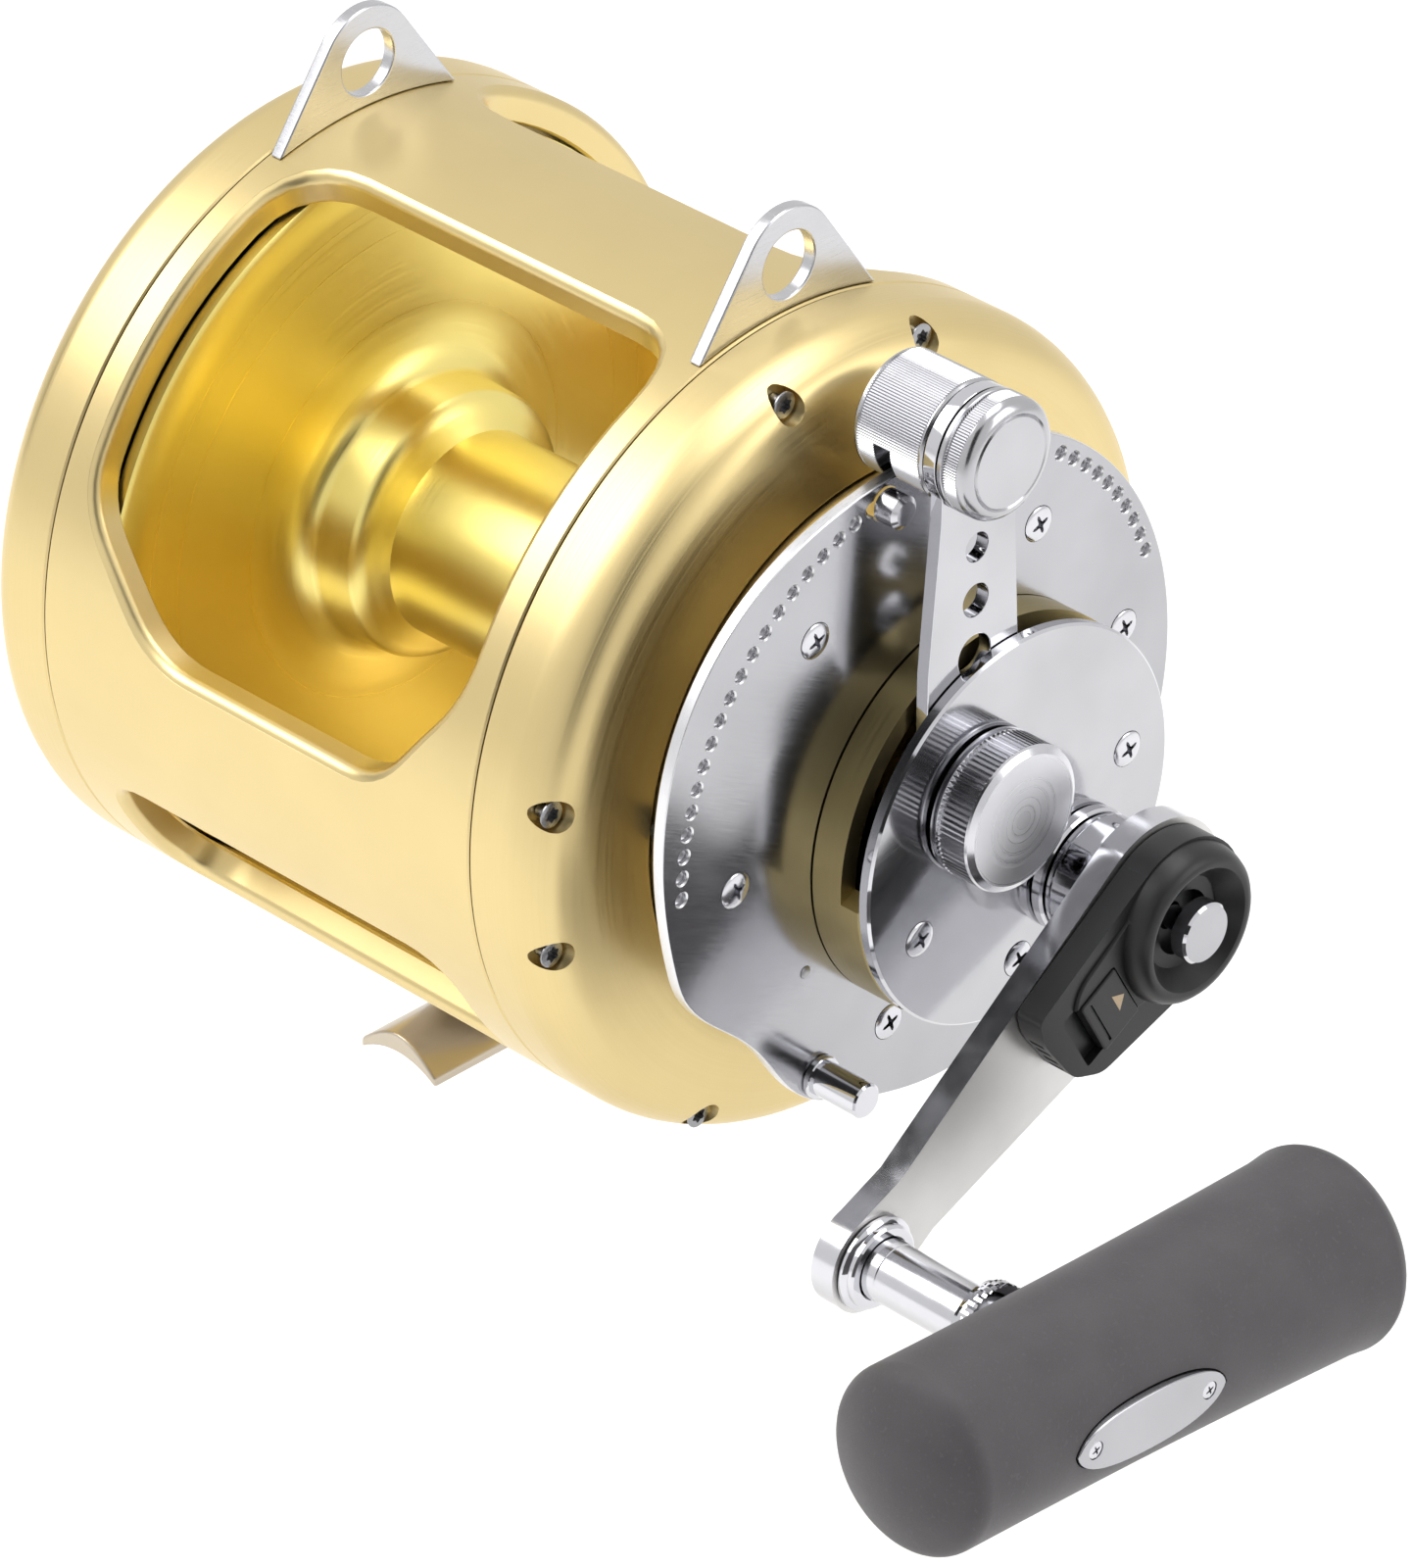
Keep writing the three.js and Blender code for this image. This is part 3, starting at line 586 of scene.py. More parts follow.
    @staticmethod
    def loft(name: str, loops: Sequence[Sequence[Vector]]) -> bpy.types.Object:
        """A solid whose walls bridge closed loops that have the same number of points.

        Args:
            name: the piece's name.
            loops: the loops in order, in metres.

        Returns:
            The piece.
        """
        chains = []
        for loop in loops:
            chains.append(Bench.trace(name, [*loop, loop[0]]))
            Bench.tidy(chains[-1])
        piece = Bench.join(chains)
        bpy.ops.object.mode_set(mode="EDIT")
        rise = Vector((0, 0, AXIS_HEIGHT))
        marks = [{Bench.mark(point / MM - rise) for point in loop} for loop in loops]
        for low, high in zip(marks, marks[1:]):
            both = low | high
            Bench.choose(piece, lambda place: Bench.mark(place) in both)
            bpy.ops.mesh.bridge_edge_loops()
        for end in (marks[0], marks[-1]):
            Bench.choose(piece, lambda place: Bench.mark(place) in end)
            bpy.ops.mesh.edge_face_add()
        return Bench.tidy(piece)

    @staticmethod
    def mark(place: Vector) -> tuple[float, ...]:
        """A place rounded to a hundredth of a millimetre, to know it again."""
        return tuple(round(value * 100) for value in place)

    @staticmethod
    def copy(piece: bpy.types.Object, name: str, start: Point, end: Point) -> bpy.types.Object:
        """Copies a piece with its own mesh and moves the copy in the y-z plane.

        Args:
            piece: the piece.
            name: the copy's name.
            start: where the piece's axis is.
            end: where the copy's axis goes.

        Returns:
            The copy.
        """
        Bench.pick(piece)
        bpy.ops.object.duplicate(linked=False)
        twin = bpy.context.object
        twin.name = name
        bpy.ops.object.mode_set(mode="EDIT")
        bpy.ops.mesh.select_all(action="SELECT")
        bpy.ops.transform.translate(
            value=(0, (end[0] - start[0]) * MM, (end[1] - start[1]) * MM))
        bpy.ops.object.mode_set(mode="OBJECT")
        return twin

    @staticmethod
    def rod(
        name: str, centre: Point, radius: float, low: float, high: float, sides: int = 48
    ) -> bpy.types.Object:
        """A round bar along x.

        Args:
            name: the piece's name.
            centre: its axis in the y-z plane.
            radius: its radius.
            low: where it starts along x.
            high: where it ends.
            sides: how many sides it has.

        Returns:
            The piece.
        """
        Bench.clear()
        bpy.ops.mesh.primitive_cylinder_add(
            vertices=sides, radius=radius * MM, depth=(high - low) * MM,
            location=spot((low + high) / 2, *centre), rotation=(0, math.pi / 2, 0))
        piece = bpy.context.object
        piece.name = name
        bpy.ops.object.transform_apply(location=True, rotation=True, scale=True)
        return piece

    @staticmethod
    def apply(piece: bpy.types.Object, kind: str, **settings: object) -> None:
        """Adds a modifier and applies it.

        Args:
            piece: the piece.
            kind: the modifier's type.
            **settings: the modifier's properties.
        """
        Bench.pick(piece)
        modifier = piece.modifiers.new(kind.lower(), kind)
        for key, value in settings.items():
            setattr(modifier, key, value)
        bpy.ops.object.modifier_apply(modifier=modifier.name)

    @staticmethod
    def round_edges(
        piece: bpy.types.Object, width: float, segments: int = 3, above: float = 38.0
    ) -> None:
        """Rounds every edge sharper than an angle.

        Args:
            piece: the piece.
            width: how far the rounding reaches, in millimetres.
            segments: steps across it.
            above: the smallest angle that is rounded, in degrees.
        """
        Bench.apply(
            piece, "BEVEL", width=width * MM, segments=segments, limit_method="ANGLE",
            angle_limit=math.radians(above), miter_outer="MITER_ARC")

    @staticmethod
    def join(pieces: Sequence[bpy.types.Object]) -> bpy.types.Object:
        """Joins pieces into the first one's mesh.

        Args:
            pieces: the pieces.

        Returns:
            The first piece.
        """
        Bench.clear()
        for piece in pieces:
            piece.select_set(True)
        bpy.context.view_layer.objects.active = pieces[0]
        if len(pieces) > 1:
            bpy.ops.object.join()
        return pieces[0]

    @staticmethod
    def combine(
        piece: bpy.types.Object, tools: Iterable[bpy.types.Object], operation: str
    ) -> None:
        """Cuts or joins a piece with tools that don't touch each other, then removes them.

        Args:
            piece: the piece.
            tools: the solids that cut or join it.
            operation: DIFFERENCE, UNION or INTERSECT.
        """
        tool = Bench.join(list(tools))
        Bench.apply(piece, "BOOLEAN", object=tool, operation=operation, solver="EXACT")
        bpy.data.objects.remove(tool, do_unlink=True)

    @staticmethod
    def cut(piece: bpy.types.Object, *tools: bpy.types.Object) -> None:
        """Cuts tools away from a piece."""
        Bench.combine(piece, tools, "DIFFERENCE")

    @staticmethod
    def fuse(piece: bpy.types.Object, *tools: bpy.types.Object) -> None:
        """Adds tools to a piece."""
        Bench.combine(piece, tools, "UNION")

    @staticmethod
    def knurl(
        piece: bpy.types.Object,
        centre: Point,
        span: Point,
        radius: float,
        ridges: int,
        depth: float,
        share: float = 0.5,
    ) -> None:
        """Presses straight grooves into a turned band.

        Args:
            piece: a turned piece with a whole number of steps for each ridge.
            centre: its axis.
            span: the band's ends along x.
            radius: only vertices within 0.6 of this radius move.
            ridges: how many ridges go round.
            depth: how deep a groove is.
            share: which part of each pitch is groove.
        """
        Bench.pick(piece)
        bpy.ops.object.mode_set(mode="EDIT")

        def in_groove(place: Vector) -> bool:
            """Whether a vertex lies in a groove of the band."""
            out = math.hypot(place.y - centre[0], place.z - centre[1])
            if not span[0] < place.x < span[1] or abs(out - radius) > 0.6:
                return False
            turn = math.atan2(place.z - centre[1], place.y - centre[0]) / (2 * math.pi)
            return ((turn - 0.25) * ridges + 0.01) % 1.0 < share

        Bench.choose(piece, in_groove)
        shrink = (radius - depth) / radius
        bpy.ops.transform.resize(
            value=(1, shrink, shrink), center_override=spot(sum(span) / 2, *centre))
        bpy.ops.object.mode_set(mode="OBJECT")

    @staticmethod
    def smooth(piece: bpy.types.Object, angle: float = 32.0, weigh: bool = False) -> None:
        """Shades a piece smooth except over sharp edges.

        Args:
            piece: the piece.
            angle: the sharpest edge that is smoothed, in degrees.
            weigh: whether large flat faces keep their own shading.
        """
        Bench.pick(piece)
        bpy.ops.object.shade_smooth_by_angle(angle=math.radians(angle))
        if weigh:
            Bench.apply(piece, "WEIGHTED_NORMAL", keep_sharp=True, weight=90)

    @staticmethod
    def face_share(
        piece: bpy.types.Object, second: bpy.types.Material, test: Callable[[Vector], bool]
    ) -> None:
        """Gives the faces whose normal passes a test a second material.

        Args:
            piece: the piece, already dressed in its first material.
            second: the material those faces get.
            test: takes a face's normal.
        """
        piece.data.materials.append(second)
        for face in piece.data.polygons:
            if test(face.normal):
                face.material_index = 1


def rounded_outline(
    corners: Sequence[tuple[float, float, float]], steps: int = 8, spacing: float = 1000.0
) -> list[Point]:
    """An outline whose corners are rounded.

    Args:
        corners: (a, b, how far along each side the rounding reaches).
        steps: points on each corner.
        spacing: the longest stretch of a straight side without a point.

    Returns:
        The outline's points.
    """
    points: list[Point] = []
    for i, (a, b, reach) in enumerate(corners):
        corner = Vector((a, b))
        before = Vector(corners[i - 1][:2]) - corner
        after = Vector(corners[(i + 1) % len(corners)][:2]) - corner
        start = corner + before.normalized() * reach
        end = corner + after.normalized() * reach
        for k in range(steps + 1):
            t = k / steps
            place = start * (1 - t) ** 2 + corner * 2 * t * (1 - t) + end * t * t
            points.append((place.x, place.y))
        straight = after.length - reach - corners[(i + 1) % len(corners)][2]
        parts = math.ceil(straight / spacing)
        for k in range(1, parts):
            place = end + after.normalized() * straight * k / parts
            points.append((place.x, place.y))
    return points


def tapered_outline(
    start: Point, start_radius: float, end: Point, end_radius: float, steps: int = 24
) -> list[Point]:
    """The outline round two circles: a bar that tapers between them.

    Args:
        start: first circle's centre.
        start_radius: its radius.
        end: second circle's centre.
        end_radius: its radius.
        steps: points round each circle's share.

    Returns:
        The outline's points.
    """
    way = math.atan2(end[1] - start[1], end[0] - start[0])
    length = math.hypot(end[0] - start[0], end[1] - start[1])
    lean = math.acos((start_radius - end_radius) / length)
    points = []
    for i in range(steps + 1):
        angle = way + lean + (2 * math.pi - 2 * lean) * i / steps
        points.append((start[0] + start_radius * math.cos(angle),
                       start[1] + start_radius * math.sin(angle)))
    for i in range(steps + 1):
        angle = way - lean + 2 * lean * i / steps
        points.append((end[0] + end_radius * math.cos(angle),
                       end[1] + end_radius * math.sin(angle)))
    return points


# ---- what every sub-assembly does -----------------------------------------------------
@dataclass
class Assembly:
    """A group of pieces that is modelled and dressed together."""

    finishes: Finishes
    made: list[str] = field(default_factory=list)

    def place(
        self,
        piece: bpy.types.Object,
        finish: str,
        body: str,
        slot: str,
        node: Optional[str] = None,
    ) -> bpy.types.Object:
        """Dresses a finished piece and ties it to the model.

        Args:
            piece: the piece.
            finish: name of its finish.
            body: the body that it rides on.
            slot: the record's material slot; not used.
            node: the node that it stands for, if any.

        Returns:
            The same piece.
        """
        piece.data.materials.clear()
        piece.data.materials.append(self.finishes[finish])
        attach(piece, body)
        if node:
            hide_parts(node)
        self.made.append(piece.name)
        return piece

    def report(self) -> None:
        """Logs each piece of the sub-assembly."""
        for name in self.made:
            LOG.info("%s: %s", type(self).__name__, name)


@dataclass
class Screw:
    """A screw with a driver recess in its head."""

    head_radius: float
    shank_radius: float
    length: float
    lobes: int
    dome: float = 0.5
    driver_share: float = 0.62
    driver_turn: float = 20.0
    driver_depth: float = 1.1

    def model(self, name: str, centre: Point, face: float) -> bpy.types.Object:
        """Models the screw with the middle of its head at a face.

        Args:
            name: the piece's name.
            centre: its axis.
            face: where the head's rim stands along x.

        Returns:
            The piece.
        """
        r = self.head_radius
        profile = [(face - self.length, 0.0), (face - self.length, self.shank_radius),
                   (face - 1.4, self.shank_radius), (face - 0.2, r), (face + 0.1, r)]
        for step in (1, 2, 3):
            rise, run = math.sin(step * math.pi / 8), math.cos(step * math.pi / 8)
            profile.append((face + 0.1 + self.dome * rise, r * run))
        profile.append((face + 0.1 + self.dome, 0.0))
        piece = Bench.turned(name, profile, centre, 32)
        Bench.cut(piece, self.recess(centre, face))
        Bench.smooth(piece, 35, weigh=True)
        return piece

    def recess(self, centre: Point, face: float) -> bpy.types.Object:
        """The driver's shape: a cross, or six lobes.

        Args:
            centre: the screw's axis.
            face: where the head's rim stands along x.

        Returns:
            The solid to cut away.
        """
        reach = self.head_radius * self.driver_share
        steps = self.lobes * 8
        power, inner = (2.2, 0.34) if self.lobes == 4 else (1.0, 0.72)
        outline = []
        for i in range(steps):
            angle = 2 * math.pi * i / steps
            wave = 0.5 + 0.5 * math.cos(self.lobes * angle)
            radius = reach * (inner + (1 - inner) * wave ** power)
            outline.append(polar(radius, math.degrees(angle) + self.driver_turn, centre))
        return Bench.prism("recess", outline, face - self.driver_depth, face + 3)


# ---- frame, lugs and foot -------------------------------------------------------------
@dataclass
class FrameRing(Assembly):
    """The machined frame with its windows, the harness lugs and the rod foot."""

    radius: float = 84.0
    bore: float = 77.0
    half: float = 58.5
    lip: float = 2.4
    window_angle: float = 140.0
    lower_angle: float = 215.5
    lug_thickness: float = 3.0
    lug_hole: float = 6.8
    lug_peak: float = 11.8
    lug_height: float = 93.4
    lug_spread: float = 73.8
    saddle_half: float = 10.4
    rod_radius: float = 17.5
    saddle_top: float = 4.4

    def window_corners(self) -> list[tuple[float, float, float]]:
        """Corners of a window as (x, distance up the tangent, rounding)."""
        return [(-51, -27.4, 9), (-28, -49.4, 9), (33, -49.4, 9), (51, -27.4, 9),
                (51, 50, 15), (-51, 50, 15)]

    def cutter(
        self, corners: Sequence[tuple[float, float, float]], angle: float, flip: bool
    ) -> bpy.types.Object:
        """A solid that cuts one opening with rounded lips through the ring's wall.

        Args:
            corners: the opening's corners, on the ring's outside.
            angle: the middle of the opening, round the ring.
            flip: whether it is mirrored to the front of the reel.

        Returns:
            The solid.
        """
        outline = rounded_outline(corners, 6, 5.0)
        count = len(outline)
        levels = [(self.lip * 1.25, self.radius * 1.4), (self.lip * 1.25, self.radius + 1)]
        for k in range(1, 7):
            turn = math.radians(15 * k)
            levels.append(
                (self.lip * (1 - math.sin(turn)), self.radius - self.lip * (1 - math.cos(turn))))
        levels += [(0.0, self.bore + 0.6), (0.6, self.bore - 0.1), (0.6, self.bore - 4)]
        loops = []
        for offset, radius in levels:
            loop = []
            for i, (x, up) in enumerate(outline):
                before, after = Vector(outline[i - 1]), Vector(outline[(i + 1) % count])
                side = (after - before).normalized()
                out_x, out_up = x + side.y * offset, up - side.x * offset
                turn = math.asin(up / self.radius) + (out_up - up) / self.radius
                y, z = polar(radius, angle - math.degrees(turn))
                loop.append(spot(out_x, -y if flip else y, z))
            loops.append(loop)
        return Bench.loft("cutter", loops)

    def ring(self) -> bpy.types.Object:
        """The frame itself.

        Returns:
            The piece.
        """
        edge = 0.35
        profile = [
            (-self.half, self.bore), (-self.half, self.radius - edge),
            (-self.half + edge, self.radius), (self.half - edge, self.radius),
            (self.half, self.radius - edge), (self.half, self.bore),
        ]
        piece = Bench.turned("frame_ring", profile, steps=240)
        lower = [(-48, -18, 14), (45, -18, 14), (45, 18, 10), (-48, 18, 10)]
        for flip in (False, True):
            Bench.cut(piece, self.cutter(self.window_corners(), self.window_angle, flip))
            Bench.cut(piece, self.cutter(lower, self.lower_angle, flip))
        Bench.smooth(piece, 34, weigh=True)
        return piece

    def lug(self, name: str, low: float) -> bpy.types.Object:
        """One harness lug.

        Args:
            name: the piece's name.
            low: its inner or outer face along x, whichever is lower.

        Returns:
            The piece.
        """
        foot_radius, height, spread = self.radius + 0.1, self.lug_height, self.lug_spread
        base = polar(foot_radius, spread)
        reach = math.hypot(base[0], base[1] - height)
        lean = math.atan2(base[1] - height, base[0]) + math.acos(self.lug_peak / reach)
        outline = [base]
        for i in range(25):
            angle = math.degrees(lean + (math.pi - 2 * lean) * i / 24)
            outline.append(polar(self.lug_peak, angle, (0, height)))
        outline.append((-base[0], base[1]))
        outline += [polar(foot_radius, 180 - spread - (180 - 2 * spread) * i / 16)
                    for i in range(1, 16)]
        piece = Bench.prism(name, outline, low, low + self.lug_thickness)
        hole = Bench.rod("hole", (0, height), self.lug_hole, low - 2, low + 5, 64)
        Bench.cut(piece, hole)
        Bench.round_edges(piece, 0.45, 3)
        Bench.smooth(piece, 40, weigh=True)
        return piece

    def foot(self) -> bpy.types.Object:
        """The saddle that clamps on the rod's seat, with its pedestal.

        Returns:
            The piece.
        """
        half, seat = self.saddle_half, self.rod_radius
        low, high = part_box("foot")
        length = (high.y - low.y) / MM
        lean = math.degrees(math.asin(half / seat))
        under = [polar(seat, 90 + lean - 2 * lean * i / 12, (0, -seat)) for i in range(13)]
        rim = under[-1][1] + 2.2
        over = [(half * (1 - i / 6), rim + (self.saddle_top - rim) * math.sin(math.pi * i / 12))
                for i in range(13)]
        points = [Vector((x, length / 2, z)) * MM for x, z in [*under, *over]]
        piece = Bench.trace("foot_saddle", [*points, points[0]])
        bpy.ops.mesh.select_all(action="SELECT")
        bpy.ops.mesh.remove_doubles(threshold=1e-7)
        bpy.ops.mesh.edge_face_add()
        bpy.ops.mesh.extrude_region_move(
            TRANSFORM_OT_translate={"value": (0, -length * MM, 0)})
        Bench.tidy(piece)
        top = [polar(self.radius - 3.5, 238 + 64 * i / 16) for i in range(17)]
        sides = [(42, -73), (31, -85), (-31, -85), (-42, -73)]
        pedestal = Bench.prism("pedestal", [*top, *sides], -11, 11)
        Bench.fuse(piece, pedestal)
        Bench.round_edges(piece, 0.7, 3, 45)
        Bench.smooth(piece, 40, weigh=True)
        return piece

    def build(self) -> None:
        """Models and dresses the frame, both lugs and the foot."""
        self.place(self.ring(), "champagne_gold", "body", "champagne_gold", "frame")
        for side, low in (("left", -58.0), ("right", 58.0 - self.lug_thickness)):
            lug = self.lug(f"lug_{side}", low)
            self.place(lug, "lug_aluminium", "body", "polished_aluminium", f"harness_lug_{side}")
        self.place(self.foot(), "foot_bronze", "body", "foot_steel", "foot")


# ---- side plates ----------------------------------------------------------------------
@dataclass
class SidePlates(Assembly):
    """Both side plates, the plain cap and click button on the left, and the screws."""

    radius: float = 84.0
    face: float = 81.0
    screw_ring: float = 79.7
    screw_angles: tuple[float, ...] = (76.8, 103.2, 169.0, 191.0, 240.5, 299.5, 349.0, 11.0)
    screw_hole: float = 3.25
    screw_floor: float = 71.6
    screw_face: float = 74.7

    def right(self) -> bpy.types.Object:
        """The crank side's plate, with a counterbore for each screw.

        Returns:
            The piece.
        """
        rim = [(58.8, 76.4), (58.8, self.radius - 0.35), (59.2, self.radius), (66.5, self.radius)]
        shoulder = [(68.0, 83.9), (69.6, 83.6), (71.2, 83.1), (72.8, 82.4), (74.3, 81.5),
                    (75.6, 80.4), (76.6, 79.0), (77.3, 77.4), (77.9, 75.4), (78.6, 72.4),
                    (79.3, 68.8), (79.9, 65.2), (80.5, 61.8), (81.0, 59.4)]
        inside = [(self.face - 0.4, 58.7), (74.0, 58.7), (74.0, 68.0), (70.0, 76.4)]
        piece = Bench.turned("right_plate", [*rim, *shoulder, *inside], steps=240)
        holes = [Bench.rod("hole", polar(self.screw_ring, angle), self.screw_hole,
                           self.screw_floor, 86, 40) for angle in self.screw_angles]
        Bench.cut(piece, *holes)
        Bench.smooth(piece, 34, weigh=True)
        return piece

    def left(self) -> bpy.types.Object:
        """The plain side's plate.

        Returns:
            The piece.
        """
        r, corner = self.radius, 6.5
        profile = [(-58.8, 76.0), (-58.8, r - 0.35), (-59.2, r), (-68.5, r)]
        for step in range(1, 7):
            turn = step * math.pi / 12
            profile.append((-68.5 - corner * math.sin(turn), r - corner + corner * math.cos(turn)))
        profile += [(-75.0, 60.0), (-74.4, 59.0), (-74.4, 30.0), (-75.0, 29.0), (-75.0, 18.2),
                    (-75.0, 12.3), (-71.0, 12.3), (-71.0, 70.0), (-66.0, 74.0)]
        piece = Bench.turned("left_plate", profile, steps=200)
        Bench.cut(piece, Bench.rod("hole", axis_of("click_button"), 3.3, -80, -60, 32))
        Bench.smooth(piece, 34, weigh=True)
        return piece

    def build(self) -> None:
        """Models and dresses the side plates."""
        self.place(self.right(), "turned_gold", "body", "champagne_gold", "right_side_plate")
        self.place(self.left(), "turned_gold", "body", "champagne_gold", "left_side_plate")
        cap = Bench.turned("left_cap", [
            (-77.4, 0), (-77.4, 5.5), (-77.1, 6), (-77.1, 14.4), (-77.4, 15), (-77.2, 16),
            (-76, 17.6), (-75.3, 17.6), (-75.3, 12), (-69.5, 12), (-69.5, 5.4), (-73, 5.4),
            (-73, 0)], steps=96)
        Bench.smooth(cap)
        self.place(cap, "turned_gold", "body", "champagne_gold", "left_bearing_cap")
        button = Bench.turned("click_knob", [
            (-80.2, 0), (-80.2, 4.8), (-79.9, 5.4), (-78.6, 5.6), (-78.4, 3), (-68, 3), (-68, 0)],
            axis_of("click_button"), 48)
        Bench.smooth(button)
        self.place(button, "soft_chrome", "click", "chrome", "click_button")
        screw = Screw(head_radius=2.7, shank_radius=1.4, length=2.9, lobes=6, dome=0.2)
        spots = [polar(self.screw_ring, angle) for angle in self.screw_angles]
        heads = [screw.model("plate_screw_1", spots[0], self.screw_face)]
        heads += [Bench.copy(heads[0], f"plate_screw_{i}", spots[0], centre)
                  for i, centre in enumerate(spots[1:], 2)]
        for head in heads:
            self.place(head, "screw_steel", "body", "chrome")


# ---- quadrant -------------------------------------------------------------------------
@dataclass
class Quadrant(Assembly):
    """The gearbox lid, the quadrant plate with its detents, and what is fixed on it."""

    back: float = 92.3
    face: float = 95.0
    detent_ring: float = 64.65
    detent_radius: float = 1.4
    detent_pitch: float = 4.01
    lid_radius: float = 58.3
    pad_angle: float = 174.0
    pad_x: float = 84.5
    dowel: Point = polar(44.3, 224.7)

    @staticmethod
    def edge(angle: float) -> float:
        """The plate's radius at an angle: a rise at the rear, a cut-back and a rise below."""

        def swell(centre: float, half: float, height: float) -> float:
            """A smooth rise or dip about an angle."""
            away = abs((angle - centre + 540) % 360 - 180)
            return height * math.cos(away / half * math.pi / 2) ** 2 if away < half else 0.0

        return 68 + swell(143, 52, 5.7) + swell(290, 44, 5.4) - swell(222, 26, 6.2)

    def lid(self) -> bpy.types.Object:
        """The gearbox lid.

        Returns:
            The piece.
        """
        outer = self.lid_radius
        piece = Bench.turned("gear_lid", [
            (76.3, 54.5), (76.3, outer), (91.5, outer), (92, outer - 0.5), (92, 20), (88.5, 20),
            (88.5, 54.5)], steps=180)
        Bench.cut(piece, Bench.rod("hole", CRANK, 11.4, 88, 93, 48))
        Bench.smooth(piece, weigh=True)
        return piece

    def detents(self) -> list[bpy.types.Object]:
        """The tools that drill the rows of detents.

        Returns:
            The tools.
        """
        angles = [100.0 + self.detent_pitch * i for i in range(21)]
        angles += [56.6 - self.detent_pitch * i for i in range(10)]
        first = polar(self.detent_ring, angles[0])
        drill = Bench.turned("drill", [
            (self.face - 1.7, 0), (self.face - 1.2, self.detent_radius),
            (self.face - 0.3, self.detent_radius), (self.face + 0.1, self.detent_radius + 0.4),
            (self.face + 1, self.detent_radius + 0.4), (self.face + 1, 0)], first, 20)
        tools = [drill]
        tools += [Bench.copy(drill, "drill", first, polar(self.detent_ring, angle))
                  for angle in angles[1:]]
        return tools

    def plate(self, screws: Sequence[Point]) -> bpy.types.Object:
        """The quadrant plate.

        Args:
            screws: the axes of its screws.

        Returns:
            The piece.
        """
        outline = [polar(self.edge(a), a) for a in range(0, 360, 2)]
        piece = Bench.prism("lever_quadrant", outline, self.back, self.face, 0.35)
        Bench.cut(piece, Bench.rod("hole", (0, 0), 19, 90, 97, 96))
        Bench.cut(piece, Bench.rod("hole", CRANK, 7, 90, 97, 48))
        holes = [Bench.rod("hole", c, 3.75, self.face - 1.5, 97, 32) for c in screws]
        holes.append(Bench.rod("hole", axis_of("quadrant_post"), 3.75, 90, 97, 32))
        holes.append(Bench.rod("hole", axis_of("strike_button"), 3.6, 90, 97, 32))
        holes.append(Bench.rod("hole", self.dowel, 1.35, self.face - 0.4, 97, 24))
        Bench.cut(piece, *holes)
        Bench.cut(piece, *self.detents())
        Bench.smooth(piece, 30, weigh=True)
        return piece

    def stop_pad(self) -> bpy.types.Object:
        """The round rubber pad let into the lid's side wall.

        Returns:
            The piece.
        """
        centre = spot(self.pad_x, *polar(self.lid_radius - 1.2, self.pad_angle))
        Bench.clear()
        bpy.ops.mesh.primitive_cylinder_add(
            vertices=40, radius=3.6 * MM, depth=4.4 * MM, location=centre,
            rotation=(math.pi / 2, 0, 0))
        piece = bpy.context.object
        piece.name = "stop_pad"
        bpy.ops.object.transform_apply(location=True, rotation=True, scale=True)
        bpy.ops.object.mode_set(mode="EDIT")
        bpy.ops.mesh.select_all(action="SELECT")
        bpy.ops.transform.rotate(
            value=math.radians(self.pad_angle - 180), orient_axis="X", center_override=centre)
        bpy.ops.object.mode_set(mode="OBJECT")
        Bench.round_edges(piece, 0.5, 3)
        Bench.smooth(piece)
        return piece

    def build(self) -> None:
        """Models and dresses the lid, the plate, its screws, post, pad and button."""
        # The lid takes the lightened olive gold, painted light on its shaded side wall.
        self.place(self.lid(), "olive_gold_painted_light", "body", "olive_gold", "gearbox_lid")
        screws = [axis_of(f"quadrant_screw_{i + 1}") for i in range(5)]
        plate = self.place(self.plate(screws), "quadrant_aluminium", "body",
                           "polished_aluminium", "quadrant_plate")
        # The rim and every hole wall, the detents too, get the lighter aluminium, a painted
        # highlight.
        Bench.face_share(plate, self.finishes["aluminium_painted_highlight"], lambda normal: abs(normal.x) < 0.9)
        screw = Screw(head_radius=3.6, shank_radius=1.7, length=3.0, lobes=4, dome=0.55)
        heads = [screw.model("cross_screw_1", screws[0], self.face)]
        heads += [Bench.copy(heads[0], f"cross_screw_{i}", screws[0], centre)
                  for i, centre in enumerate(screws[1:], 2)]
        for i, head in enumerate(heads, 1):
            self.place(head, "soft_chrome", "body", "chrome", f"quadrant_screw_{i}")
        post = Bench.turned("stop_post", [
            (self.back + 0.1, 0), (self.back + 0.1, 3.6), (95.1, 3.6), (95.1, 4.2), (95.3, 4.4),
            (96.4, 4.4), (96.6, 4.2), (96.6, 3.6), (107.4, 3.6), (107.8, 3.2), (107.8, 0)],
            axis_of("quadrant_post"), 48)
        Bench.smooth(post)
        self.place(post, "chrome", "body", "chrome", "quadrant_post")
        dowel = Bench.turned("dowel", [
            (94.7, 0), (94.7, 1.25), (95.1, 1.25), (95.25, 1.0), (95.25, 0)], self.dowel, 24)
        Bench.smooth(dowel)
        self.place(dowel, "machined_steel", "body", "machined_steel")
        self.place(self.stop_pad(), "pad_rubber", "body", "housing_black")
        button = Bench.turned("strike_knob", [
            (95.4, 0), (95.4, 3.4), (99.6, 3.4), (100.4, 2.4), (100.4, 0)],
            axis_of("strike_button"), 48)
        Bench.smooth(button)
        self.place(button, "soft_chrome", "strike_stop", "chrome", "strike_button")


